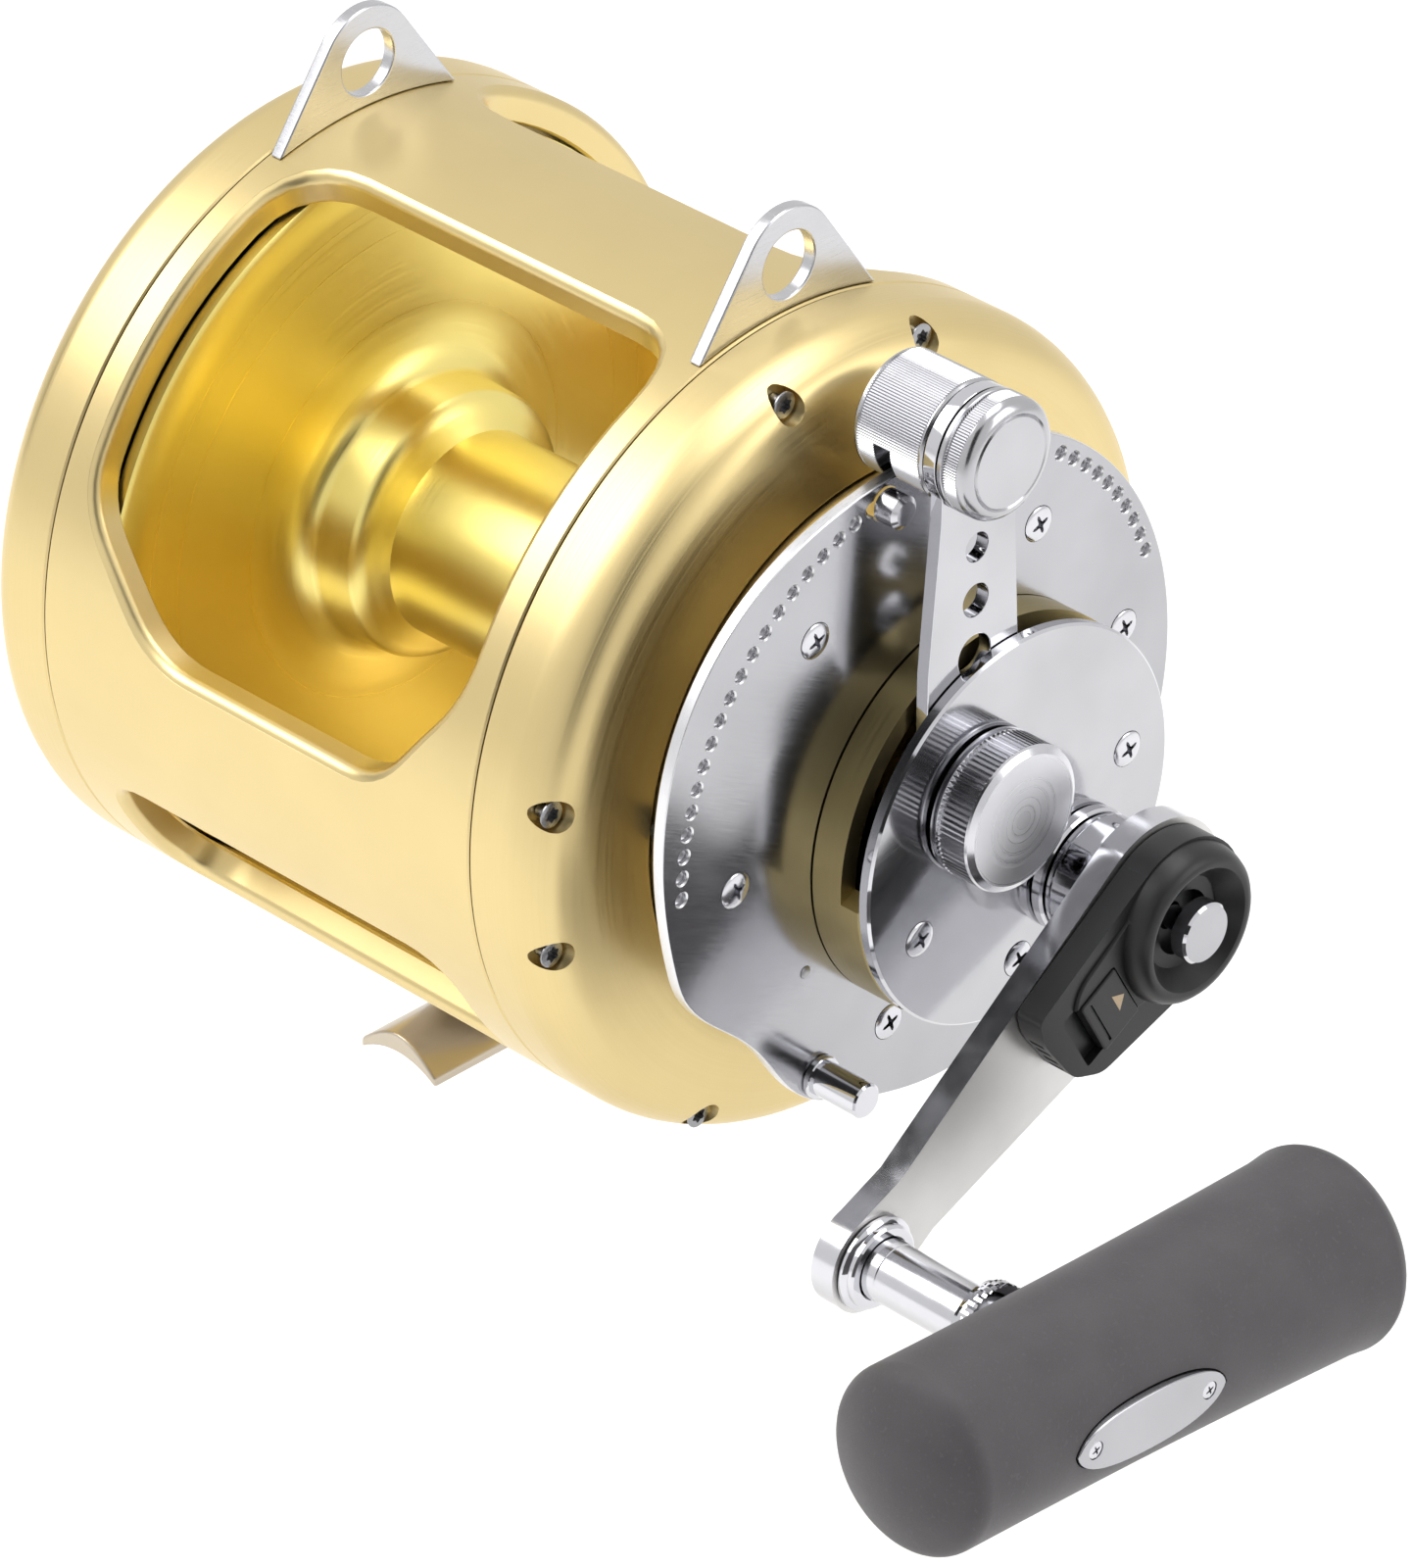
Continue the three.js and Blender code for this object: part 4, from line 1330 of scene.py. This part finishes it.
# ---- gear case ------------------------------------------------------------------------
@dataclass
class GearCase(Assembly):
    """The drum that the lever swings in, its cover, the cover's screws and the collar."""

    radius: float = 41.0
    back: float = 95.3
    front: float = 107.1
    cover_face: float = 109.8
    slot: Point = (10.0, 204.0)

    def drum(self) -> bpy.types.Object:
        """The drum with the lever's slot.

        Returns:
            The piece.
        """
        r = self.radius
        piece = Bench.turned("lever_drum", [
            (self.back, r - 4), (self.back, r), (self.front - 0.3, r), (self.front, r - 0.3),
            (self.front, r - 4)], CASE, 160)
        start, end = self.slot
        wedge = [(0.0, 0.0), *(polar(90, start + (end - start) * i / 24) for i in range(25))]
        Bench.cut(piece, Bench.prism("slot", wedge, 102.6, self.front + 1))
        Bench.smooth(piece, weigh=True)
        return piece

    def cover(self, screws: Sequence[Point]) -> bpy.types.Object:
        """The polished cover.

        Args:
            screws: the axes of its screws.

        Returns:
            The piece.
        """
        r = self.radius
        piece = Bench.turned("drum_cover", [
            (self.front + 0.3, 0), (self.front + 0.3, r), (self.cover_face - 0.5, r),
            (self.cover_face, r - 0.5), (self.cover_face, 0)], CASE, 160)
        Bench.cut(piece, Bench.rod("hole", (0, 0), 7.8, 106, 112, 48))
        Bench.cut(piece, Bench.rod("hole", CRANK, 7.2, 106, 112, 48))
        seats = [Bench.rod("hole", c, 3.75, self.cover_face - 1.5, 112, 32) for c in screws]
        Bench.cut(piece, *seats)
        Bench.smooth(piece, weigh=True)
        return piece

    def build(self) -> None:
        """Models and dresses the gear case."""
        self.place(self.drum(), "olive_gold", "body", "olive_gold", "gear_case")
        screws = [axis_of(f"cover_screw_{i + 1}") for i in range(3)]
        cover = self.place(self.cover(screws), "cover_aluminium", "body",
                           "polished_aluminium", "gear_cover")
        Bench.face_share(cover, self.finishes["chrome"], lambda normal: abs(normal.x) < 0.9)
        screw = Screw(head_radius=3.6, shank_radius=1.7, length=2.2, lobes=4, dome=0.55)
        heads = [screw.model("cover_cross_1", screws[0], self.cover_face)]
        heads += [Bench.copy(heads[0], f"cover_cross_{i}", screws[0], centre)
                  for i, centre in enumerate(screws[1:], 2)]
        for i, head in enumerate(heads, 1):
            self.place(head, "soft_chrome", "body", "chrome", f"cover_screw_{i}")
        collar = Bench.turned("shaft_collar", [
            (110.1, 7.2), (110.1, 12.6), (110.5, 13), (112.3, 13), (112.8, 12.5), (112.8, 7.2)],
            CRANK, 72)
        Bench.smooth(collar)
        self.place(collar, "chrome", "body", "chrome", "crank_collar")


# ---- spool ----------------------------------------------------------------------------
@dataclass
class SpoolWork(Assembly):
    """The spool."""

    flange: float = 76.3
    inner: float = 48.0
    outer: float = 52.0
    arbor: float = 21.5
    flare: float = 28.6

    def half_profile(self) -> list[Point]:
        """One side of the spool from its bearing seat out to the flange and in to the arbor."""
        rise = [(self.inner - 3 * (1 - t / 6) ** 1.6, 34 + (self.flange - 1.2 - 34) * t / 6)
                for t in range(6, -1, -1)]
        points = [(43.5, 7.0), (43.5, 11.0), (48.5, 11.0), (self.outer, 24.0),
                  (self.outer, self.flange - 0.8), (self.outer - 0.8, self.flange),
                  (self.inner + 0.8, self.flange)]
        points += rise
        points += [(43.6, 31.4), (42.2, 29.6), (40.4, self.flare), (33.0, self.flare - 0.4),
                   (31.4, self.flare - 1.2)]
        for step in (1, 2, 3, 4):
            share = math.sin(step * math.pi / 8)
            points.append((31.4 - 3.6 * share, self.arbor + 5.9 * (1 - share)))
        return points

    def build(self) -> None:
        """Models and dresses the spool."""
        right = self.half_profile()
        left = [(-x, radius) for x, radius in reversed(right)]
        piece = Bench.turned("line_spool", [*right, *left], steps=200)
        Bench.smooth(piece, 36)
        self.place(piece, "spool_gold", "spool", "spool_gold", "spool")


# ---- drag lever -----------------------------------------------------------------------
@dataclass
class DragLever(Assembly):
    """The lever's arm, knurled sleeve and cap, and the preset knob."""

    back: float = 104.0
    front: float = 107.1
    grip_radius: float = 12.2
    ridges: int = 132

    def arm(self) -> bpy.types.Object:
        """The flat arm with its three holes.

        Returns:
            The piece.
        """
        top = LEVER_TOP[1]
        outline = [polar(14, 152 + 236 * i / 24) for i in range(25)]
        outline += [(11.8, 30), (9.8, 62)]
        outline += [polar(12.1, -36 + 252 * i / 32, (0, top)) for i in range(33)]
        outline += [(-9.8, 62), (-12.4, 30)]
        piece = Bench.prism("lever_blade", outline, self.back, self.front)
        holes = [(0, 8.6), (53.4, 3.0), (42.0, 3.4), (30.2, 4.3)]
        Bench.cut(piece, *[Bench.rod("hole", (0, z), r, 102, 109, 48) for z, r in holes])
        Bench.round_edges(piece, 0.3, 2, 45)
        Bench.smooth(piece, 34, weigh=True)
        return piece

    def sleeve(self) -> bpy.types.Object:
        """The knurled sleeve, notched where it straddles the quadrant.

        Returns:
            The piece.
        """
        r, end = self.grip_radius, self.back - 0.3
        piece = Bench.turned("lever_barrel", [
            (86, 0), (86, r - 0.8), (86.8, r), (87.2, r), (87.5, r), (end - 1.0, r), (end - 0.7, r),
            (end - 0.4, r), (end, r - 0.4), (end, 0)], LEVER_TOP, self.ridges * 2)
        Bench.knurl(piece, LEVER_TOP, (87.3, end - 0.8), r, self.ridges, 0.36)
        notch = Bench.turned("notch", [
            (91.5, 0), (91.5, 74.8), (95.8, 74.8), (95.8, 67.9), (101, 67.9), (101, 0)], steps=160)
        Bench.cut(piece, notch)
        Bench.smooth(piece, 20, weigh=True)
        return piece

    def cap(self) -> bpy.types.Object:
        """The cap with its knurled band and flat disc.

        Returns:
            The piece.
        """
        r = self.grip_radius
        piece = Bench.turned("lever_end", [
            (107.4, 0), (107.4, r - 0.3), (107.7, r), (108.5, r), (108.8, r - 0.5), (109.1, r),
            (109.3, r), (112.3, r), (112.5, r), (113.2, r - 0.15), (114.0, r - 0.7),
            (114.6, r - 1.6), (114.8, r - 2.5),
            (114.5, 9.3), (114.9, 9.0), (115.0, 8.5), (115.0, 0)], LEVER_TOP, self.ridges * 2)
        Bench.knurl(piece, LEVER_TOP, (109.2, 112.4), r, self.ridges, 0.36)
        Bench.smooth(piece, 32, weigh=True)
        return piece

    def knob(self) -> bpy.types.Object:
        """The preset knob.

        Returns:
            The piece.
        """
        ridges, r = 78, 15.0
        piece = Bench.turned("preset_dial", [
            (112.4, 0), (112.4, 5.6), (110.4, 5.6), (110.4, r - 0.4), (110.8, r), (111.2, r),
            (111.4, r - 0.9), (112.0, r - 0.9), (112.2, r), (112.5, r), (119.2, r), (119.5, r),
            (119.9, r - 0.3), (120.4, r - 1.2), (120.6, r - 1.6), (120.6, 0)], steps=ridges * 4)
        Bench.knurl(piece, (0, 0), (112.3, 119.4), r, ridges, 0.75, 0.5)
        Bench.smooth(piece, 24, weigh=True)
        return piece

    def build(self) -> None:
        """Models and dresses the lever and the preset knob."""
        arm = self.place(self.arm(), "cover_aluminium", "lever", "polished_aluminium", "lever_arm")
        Bench.face_share(arm, self.finishes["chrome"], lambda normal: abs(normal.x) < 0.9)
        # The knurled sleeve and cap take the darkened chrome, painted dark reflections.
        self.place(self.sleeve(), "chrome_painted_dark_reflection", "lever", "chrome", "lever_sleeve")
        cap = self.place(self.cap(), "chrome_painted_dark_reflection", "lever", "chrome", "lever_cap")
        Bench.face_share(cap, self.finishes["cover_aluminium"], lambda normal: normal.x > 0.98)
        knob = self.place(self.knob(), "soft_chrome", "preset", "chrome", "preset_knob")
        Bench.face_share(knob, self.finishes["knob_face"], lambda normal: normal.x > 0.98)


# ---- crank ----------------------------------------------------------------------------
@dataclass
class Crank(Assembly):
    """The crank's sleeve, arm, speed housing with its button and tab, and handle post."""

    back: float = 124.7
    face: float = 130.2
    hub: float = 18.5
    end: float = 10.6
    housing_face: float = 136.6
    tab: Point = (17.4, 27.8)
    tab_across: Point = (-6.2, 8.2)

    def sleeve(self) -> bpy.types.Object:
        """The sleeve between the collar and the arm.

        Returns:
            The piece.
        """
        piece = Bench.turned("crank_barrel", [
            (113.2, 6.3), (113.2, 12.0), (113.5, 12.4), (114.2, 12.4), (114.4, 12.0), (114.8, 12.0),
            (115.1, 12.8), (119.6, 12.8), (121.4, 13.0), (123.0, 13.7), (124.4, 15.0),
            (124.4, 6.3)],
            CRANK, 96)
        Bench.smooth(piece, 30)
        return piece

    def arm(self) -> bpy.types.Object:
        """The arm with its end boss.

        Returns:
            The piece.
        """
        outline = tapered_outline(CRANK, self.hub, POST, 7.0, 48)
        piece = Bench.prism("crank_blade", outline, self.back, self.face)
        flare = Bench.prism("flare", tapered_outline(on_arm(74, 0), 8.9, POST, self.end - 0.1, 36),
                            self.back, self.face)
        Bench.fuse(piece, flare)
        boss = Bench.rod("boss", POST, self.end, self.back, self.face + 0.01, 72)
        Bench.fuse(piece, boss)
        Bench.round_edges(piece, 0.9, 4, 40)
        Bench.cut(piece, Bench.rod("hole", CRANK, 6.3, 120, 135, 48))
        Bench.smooth(piece, 34, weigh=True)
        return piece

    def box(
        self, name: str, along: Point, across: Point, low: float, high: float, corner: float,
        round_by: float = 0.0,
    ) -> bpy.types.Object:
        """A block whose sides lie along and across the arm.

        Args:
            name: the piece's name.
            along: its ends along the arm.
            across: its sides across it.
            low: where it starts along x.
            high: where it ends.
            corner: rounding of its corners.
            round_by: radius of its rounded edges.

        Returns:
            The piece.
        """
        corners = [(*on_arm(along[0], across[0]), corner), (*on_arm(along[1], across[0]), corner),
                   (*on_arm(along[1], across[1]), corner), (*on_arm(along[0], across[1]), corner)]
        return Bench.prism(name, rounded_outline(corners, 4), low, high, round_by)

    def cover_outline(self) -> list[Point]:
        """The housing's outline: round over the crank's hub, with a blunt squared end."""
        radius, start, end = 17.2, 85, 288
        bend = [(radius * math.cos(math.radians(a)), radius * math.sin(math.radians(a)))
                for a in range(start, end + 1, 7)]
        corners = [(*bend[-1], 0.05), (30.2, -11.4, 2.2), (35.9, -5.2, 2.2), (37.6, 8.5, 2.0),
                   (36.2, 14.2, 1.8), (*bend[0], 0.05)]
        return [on_arm(*place) for place in [*rounded_outline(corners, 4), *bend[1:-1]]]

    def housing(self) -> bpy.types.Object:
        """The black housing with its cup, pocket and ribbed end.

        Returns:
            The piece.
        """
        low = self.face + 0.3
        piece = Bench.prism("speed_cover", self.cover_outline(), low, self.housing_face)
        Bench.round_edges(piece, 1.3, 4, 40)
        ridge = Bench.prism(
            "ridge", tapered_outline(on_arm(3, 1.5), 12.5, on_arm(22, 4.2), 8.0, 32),
            self.housing_face - 1, self.housing_face + 0.7, 0.5)
        Bench.fuse(piece, ridge)
        cup = Bench.turned("cup", [
            (134, 0), (134, 16.9), (136.6, 16.6), (139.0, 16.2), (140.6, 15.5), (141.5, 14.6),
            (141.8, 13.6), (141.6, 12.8), (136.4, 8.8), (136.4, 0)], CRANK, 96)
        Bench.fuse(piece, cup)
        pocket = self.box("pocket", (self.tab[0] - 0.3, self.tab[1] + 4.3),
                          (self.tab_across[0] - 0.3, self.tab_across[1] + 0.3),
                          self.housing_face - 2, self.housing_face + 3, 0.8)
        Bench.cut(piece, pocket)
        notches = []
        for share in (0.15, 0.38, 0.62, 0.85):
            centre = on_arm(36.3 + 1.7 * share, -5.2 + 13.7 * share)
            notches.append(Bench.rod("notch", centre, 0.8, low + 1.2, self.housing_face - 1.4, 12))
        Bench.cut(piece, *notches)
        Bench.cut(piece, Bench.rod("well", CRANK, 6.7, 134.0, 140, 40))
        Bench.cut(piece, Bench.rod("hole", CRANK, 2.9, low - 1, 140, 40))
        Bench.smooth(piece, 36, weigh=True)
        return piece

    def slide_tab(self) -> bpy.types.Object:
        """The sliding tab, with finger steps.

        Returns:
            The piece.
        """
        piece = self.box("slide_tab", self.tab, self.tab_across, self.housing_face - 1.6,
                         self.housing_face + 1.2, 0.6, 0.35)
        groove = self.box("groove", (self.tab[1] - 2.4, self.tab[1] - 1.8),
                          (self.tab_across[0] + 1.2, self.tab_across[1] - 1.2),
                          self.housing_face + 0.8, self.housing_face + 3, 0.1)
        Bench.cut(piece, groove)
        Bench.smooth(piece, 36, weigh=True)
        return piece

    def arrow(self) -> bpy.types.Object:
        """The small printed arrow on the tab.

        Returns:
            The piece.
        """
        start, end = self.tab[0] + 1.0, self.tab[0] + 3.6
        outline = [on_arm(start, 1.0), on_arm(end, -1.4), on_arm(end, 3.4)]
        face = self.housing_face + 1.15
        return Bench.prism("tab_arrow", outline, face, face + 0.08)

    def build(self) -> None:
        """Models and dresses the crank."""
        self.place(self.sleeve(), "chrome", "crank", "chrome", "crank_sleeve")
        arm = self.place(self.arm(), "soft_chrome", "crank", "arm_satin", "crank_arm")
        Bench.face_share(arm, self.finishes["arm_satin"], lambda normal: normal.x > 0.97)
        self.place(self.housing(), "housing_black", "crank", "housing_black", "speed_housing")
        button = Bench.turned("push_button", [
            (116, 0), (116, 2.4), (139.6, 2.4), (139.6, 5.9), (140.0, 6.3), (142.9, 6.3),
            (143.4, 5.8), (143.4, 0)], CRANK, 64)
        Bench.smooth(button, 30)
        self.place(button, "chrome", "speed_button", "chrome", "low_button")
        face = self.finishes["quadrant_aluminium"]
        Bench.face_share(button, face, lambda normal: normal.x > 0.98)
        self.place(self.slide_tab(), "housing_black", "speed_tab", "housing_black", "high_tab")
        arrow = self.arrow()
        Bench.smooth(arrow)
        self.place(arrow, "tan_mark", "speed_tab", "housing_black")
        collar = Bench.turned("post_ring", [
            (130.5, 6.6), (130.5, 9.2), (130.8, 9.6), (131.5, 9.6), (131.8, 9.2), (132.1, 8.6),
            (133.0, 8.6), (133.4, 8.1), (133.4, 6.6)], POST, 64)
        Bench.smooth(collar, 30)
        self.place(collar, "chrome", "crank", "chrome", "post_collar")
        low, high = (corner.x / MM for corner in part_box("handle_post"))
        post = Bench.turned("post_rod", [
            (low, 0), (low, 6.3), (low + 6, 6.3), (low + 6.2, 6.15), (high - 1, 6.15),
            (high, 5.2), (high, 0)], POST, 64)
        Bench.smooth(post, 30)
        self.place(post, "soft_chrome", "crank", "chrome", "handle_post")
        washer = Bench.turned("grip_nut", [
            (157.6, 6.6), (157.6, 8.2), (158.0, 8.8), (158.8, 9.0), (159.0, 9.2), (161.6, 9.2),
            (161.6, 6.6)], POST, 84)
        Bench.knurl(washer, POST, (158.9, 161.7), 9.2, 42, 0.3)
        Bench.smooth(washer, 30)
        self.place(washer, "chrome", "crank", "chrome", "grip_washer")


# ---- grip -----------------------------------------------------------------------------
@dataclass
class Grip(Assembly):
    """The T-bar grip with its plain badge and the badge's two screws."""

    axis_x: float = 182.0
    ends: Point = (-50.4, 77.7)
    radii: Point = (18.8, 20.8)
    domes: Point = (4.0, 6.0)
    waist: float = 0.7
    edge: float = 4.5
    tilt: float = math.radians(-3.8)
    badge_back: float = 199.4
    badge_face: float = 201.4
    badge_half: float = 20.0
    badge_rise: float = 6.2
    badge_screw: float = 15.4

    def on_bar(self, along: float, across: float) -> Point:
        """A point on the grip: along its axis from the post, and across it, in the y-z plane."""
        run, rise = math.cos(self.tilt), math.sin(self.tilt)
        return POST[0] + along * run - across * rise, POST[1] + along * rise + across * run

    def badge_outline(self, grow: float) -> list[Point]:
        """The badge's pointed oval.

        Args:
            grow: how far the outline is moved outward.

        Returns:
            The outline.
        """
        half, rise = self.badge_half + grow, self.badge_rise + grow
        points = []
        for way in ((1, 1), (-1, 1), (-1, -1), (1, -1)):
            for i in range(12):
                t = i / 12 if way[0] * way[1] > 0 else 1 - i / 12
                along = half * (1 - t) ** 2 + (half - 2) * 2 * t * (1 - t)
                across = rise * (2 * t * (1 - t) + t * t)
                points.append(self.on_bar(way[0] * along, way[1] * across))
        return points

    def end_profile(self, side: int) -> list[Point]:
        """One end of the bar: a shallow dome and a rounded rim.

        Args:
            side: 0 for the end near the spool's rear, 1 for the one in front.

        Returns:
            Places as (distance from the end, radius), from the axis out.
        """
        radius, dome = self.radii[side], self.domes[side]
        rim = radius - 0.7 * self.edge
        points = [(dome * (i / 10) ** 2, rim * i / 10) for i in range(11)]
        lean = 2 * dome / rim * (radius - rim)
        for i in range(1, 9):
            t = i / 8
            inset = dome + lean * 2 * t * (1 - t) + self.edge * t * t
            points.append((inset, rim * (1 - t) ** 2 + radius * (2 * t * (1 - t) + t * t)))
        return points

    def body(self) -> bpy.types.Object:
        """The grip's rounded bar.

        Returns:
            The piece.
        """
        start, end = self.ends
        profile = [(start + inset, radius) for inset, radius in self.end_profile(0)]
        for i in range(1, 12):
            share = 0.04 + 0.92 * i / 12
            radius = self.radii[0] + share * (self.radii[1] - self.radii[0])
            radius -= self.waist * math.sin(math.pi * share)
            profile.append((start + share * (end - start), radius))
        profile += [(end - inset, radius) for inset, radius in reversed(self.end_profile(1))]
        points = [spot(self.axis_x + radius, *self.on_bar(along, 0)) for along, radius in profile]
        piece = Bench.trace("grip_bar", points)
        bpy.ops.mesh.select_all(action="SELECT")
        bpy.ops.mesh.spin(
            steps=96, angle=2 * math.pi, center=spot(self.axis_x, *POST),
            axis=(0, math.cos(self.tilt), math.sin(self.tilt)))
        Bench.tidy(piece)
        Bench.cut(piece, Bench.rod("hole", POST, 9.8, 155, 163.2, 64))
        Bench.cut(piece, Bench.rod("hole", POST, 6.7, 155, 191.5, 48))
        Bench.cut(piece, Bench.prism("pocket", self.badge_outline(0.3), self.badge_back - 0.3, 206))
        Bench.smooth(piece, 34, weigh=True)
        return piece

    def badge(self) -> bpy.types.Object:
        """The plain badge plate.

        Returns:
            The piece.
        """
        outline = self.badge_outline(0.0)
        piece = Bench.prism("badge_plate", outline, self.badge_back, self.badge_face)
        Bench.round_edges(piece, 0.3, 3, 50)
        seats = [Bench.rod("hole", self.on_bar(side * self.badge_screw, 0), 1.9,
                           self.badge_face - 0.6, 203, 32) for side in (-1, 1)]
        Bench.cut(piece, *seats)
        Bench.smooth(piece, 34, weigh=True)
        return piece

    def build(self) -> None:
        """Models and dresses the grip."""
        self.place(self.body(), "grip_rubber", "grip", "grip_rubber", "grip")
        self.place(self.badge(), "quadrant_aluminium", "grip", "polished_aluminium", "grip_badge")
        screw = Screw(head_radius=1.8, shank_radius=0.8, length=1.3, lobes=4, dome=0.25)
        near, far = self.on_bar(-self.badge_screw, 0), self.on_bar(self.badge_screw, 0)
        head = screw.model("badge_screw_1", near, self.badge_face - 0.3)
        twin = Bench.copy(head, "badge_screw_2", near, far)
        for piece in (head, twin):
            self.place(piece, "soft_chrome", "grip", "chrome")


# ---- inner works ----------------------------------------------------------------------
@dataclass
class InnerWorks(Assembly):
    """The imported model's own inner pieces, each in its finish."""

    steel: tuple[str, ...] = (
        "gear_plate", "spool_bearing_left", "spool_bearing_right", "spool_shaft", "drive_plate",
        "pinion_cluster", "pinion_bearing", "preset_spring", "crank_shaft", "ratchet_wheel",
        "ratchet_pawl", "crank_bearing_inner", "crank_bearing_outer")
    brass: tuple[str, ...] = ("cam_follower", "drag_cam", "high_gear", "low_gear")
    fibre: tuple[str, ...] = ("drag_washer",)

    def build(self) -> None:
        """Dresses the inner pieces."""
        kinds = {"machined_steel": self.steel, "gear_brass": self.brass, "carbon_fibre": self.fibre}
        for finish, nodes in kinds.items():
            for name in nodes:
                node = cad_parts[name]
                node.data.materials.clear()
                node.data.materials.append(self.finishes[finish])
                self.made.append(name)


# ---- studio ---------------------------------------------------------------------------
@dataclass
class Studio:
    """The floor, the lights and the camera."""

    floor_drop: float = 0.16
    camera_place: tuple[float, float, float] = (1.1331, -1.1173, 1.0334)
    azimuth: float = 44.74
    elevation: float = 31.90
    roll: float = 0.36
    lens: float = 219.26
    shift: Point = (0.0275, -0.00375)

    def floor(self) -> None:
        """A plain pale floor well below the reel, which is held by its foot."""
        Bench.clear()
        bpy.ops.mesh.primitive_plane_add(size=30, location=(0, 0, -self.floor_drop))
        floor = bpy.context.object
        floor.name = "floor"
        sheet = Sheet("floor_paper")
        sheet.tint(sheet.noise(sheet.place(), 0.002, 1.0), (0.93, 0.93, 0.93), (0.96, 0.96, 0.96))
        sheet.shader.inputs["Roughness"].default_value = 0.9
        sheet.shader.inputs["Specular IOR Level"].default_value = 0.1
        floor.data.materials.append(sheet.material)

    def light(
        self, name: str, place: Sequence[float], size: Point, power: float, aim: Sequence[float],
    ) -> None:
        """One soft box.

        Args:
            name: the light's name.
            place: where it hangs, in metres.
            size: its two sides in metres.
            power: its power in watts.
            aim: where it points.
        """
        lamp = bpy.data.lights.new(name, "AREA")
        lamp.shape = "RECTANGLE"
        lamp.size, lamp.size_y = size
        lamp.energy = power
        box = bpy.data.objects.new(name, lamp)
        box.location = place
        box.rotation_mode = "QUATERNION"
        box.rotation_quaternion = (Vector(aim) - Vector(place)).to_track_quat("-Z", "Y")
        bpy.context.scene.collection.objects.link(box)

    def card(self, name: str, place: Sequence[float], size: Point, aim: Sequence[float],
             shade: float) -> None:
        """A grey card that bright metal mirrors, out of the camera's view.

        Args:
            name: the card's name.
            place: its middle, in metres.
            size: its two sides in metres.
            aim: where it faces.
            shade: its grey.
        """
        Bench.clear()
        bpy.ops.mesh.primitive_plane_add(size=1)
        card = bpy.context.object
        card.name = name
        turn = (Vector(aim) - Vector(place)).to_track_quat("Z", "Y").to_matrix().to_4x4()
        card.data.transform(Matrix.Translation(place) @ turn @ Matrix.Diagonal((*size, 1, 1)))
        sheet = Sheet(name)
        sheet.tint(sheet.noise(sheet.place(), 0.002, 1.0), (shade,) * 3, (shade * 1.05,) * 3)
        sheet.shader.inputs["Roughness"].default_value = 0.9
        card.data.materials.append(sheet.material)
        card.visible_camera = False

    def camera(self) -> None:
        """The camera."""
        data = bpy.data.cameras.new("camera")
        data.sensor_width = 36.0
        data.lens = self.lens
        data.shift_x, data.shift_y = self.shift
        data.clip_start, data.clip_end = 0.05, 100.0
        camera = bpy.data.objects.new("camera", data)
        turn, rise = math.radians(self.azimuth), math.radians(self.elevation)
        flat = math.cos(rise)
        back = Vector((math.sin(turn) * flat, -math.cos(turn) * flat, math.sin(rise)))
        right = Vector((math.cos(turn), math.sin(turn), 0))
        up = back.cross(right)
        lean = math.radians(self.roll)
        side = right * math.cos(lean) + up * math.sin(lean)
        top = up * math.cos(lean) - right * math.sin(lean)
        matrix = Matrix((side, top, back)).transposed().to_4x4()
        camera.matrix_world = Matrix.Translation(self.camera_place) @ matrix
        bpy.context.scene.collection.objects.link(camera)
        bpy.context.scene.camera = camera

    def build(self) -> None:
        """Sets the floor, lights, cards, sky and camera."""
        self.floor()
        centre = (0.0, 0.0, 0.09)
        self.light("key", (-0.9, -0.9, 1.5), (1.3, 1.3), 20, centre)
        self.light("side", (1.6, 0.9, 0.9), (0.9, 1.3), 9, centre)
        self.light("top", (0.1, 0.4, 1.7), (1.2, 0.8), 10, centre)
        self.card("dark_front", (1.72, -1.45, 1.3), (1.3, 3.0), centre, 0.02)
        self.card("dark_left", (-1.5, -0.7, 0.55), (0.35, 1.2), centre, 0.03)
        world = bpy.data.worlds.new("sky")
        world.use_nodes = True
        shade = world.node_tree.nodes["Background"]
        shade.inputs["Color"].default_value = (1.0, 1.0, 1.0, 1)
        shade.inputs["Strength"].default_value = 0.85
        bpy.context.scene.world = world
        bpy.context.scene.view_settings.view_transform = "Standard"
        self.camera()


def main() -> None:
    """Builds the sub-assemblies in order and reports each piece."""
    logging.basicConfig(level=logging.INFO, format="%(message)s")
    finishes = Finishes()
    Studio().build()
    kinds = (FrameRing, SidePlates, Quadrant, GearCase, SpoolWork, DragLever, Crank, Grip,
             InnerWorks)
    for kind in kinds:
        assembly = kind(finishes)
        assembly.build()
        assembly.report()
    Bench.clear()


if __name__ == "__main__":
    main()
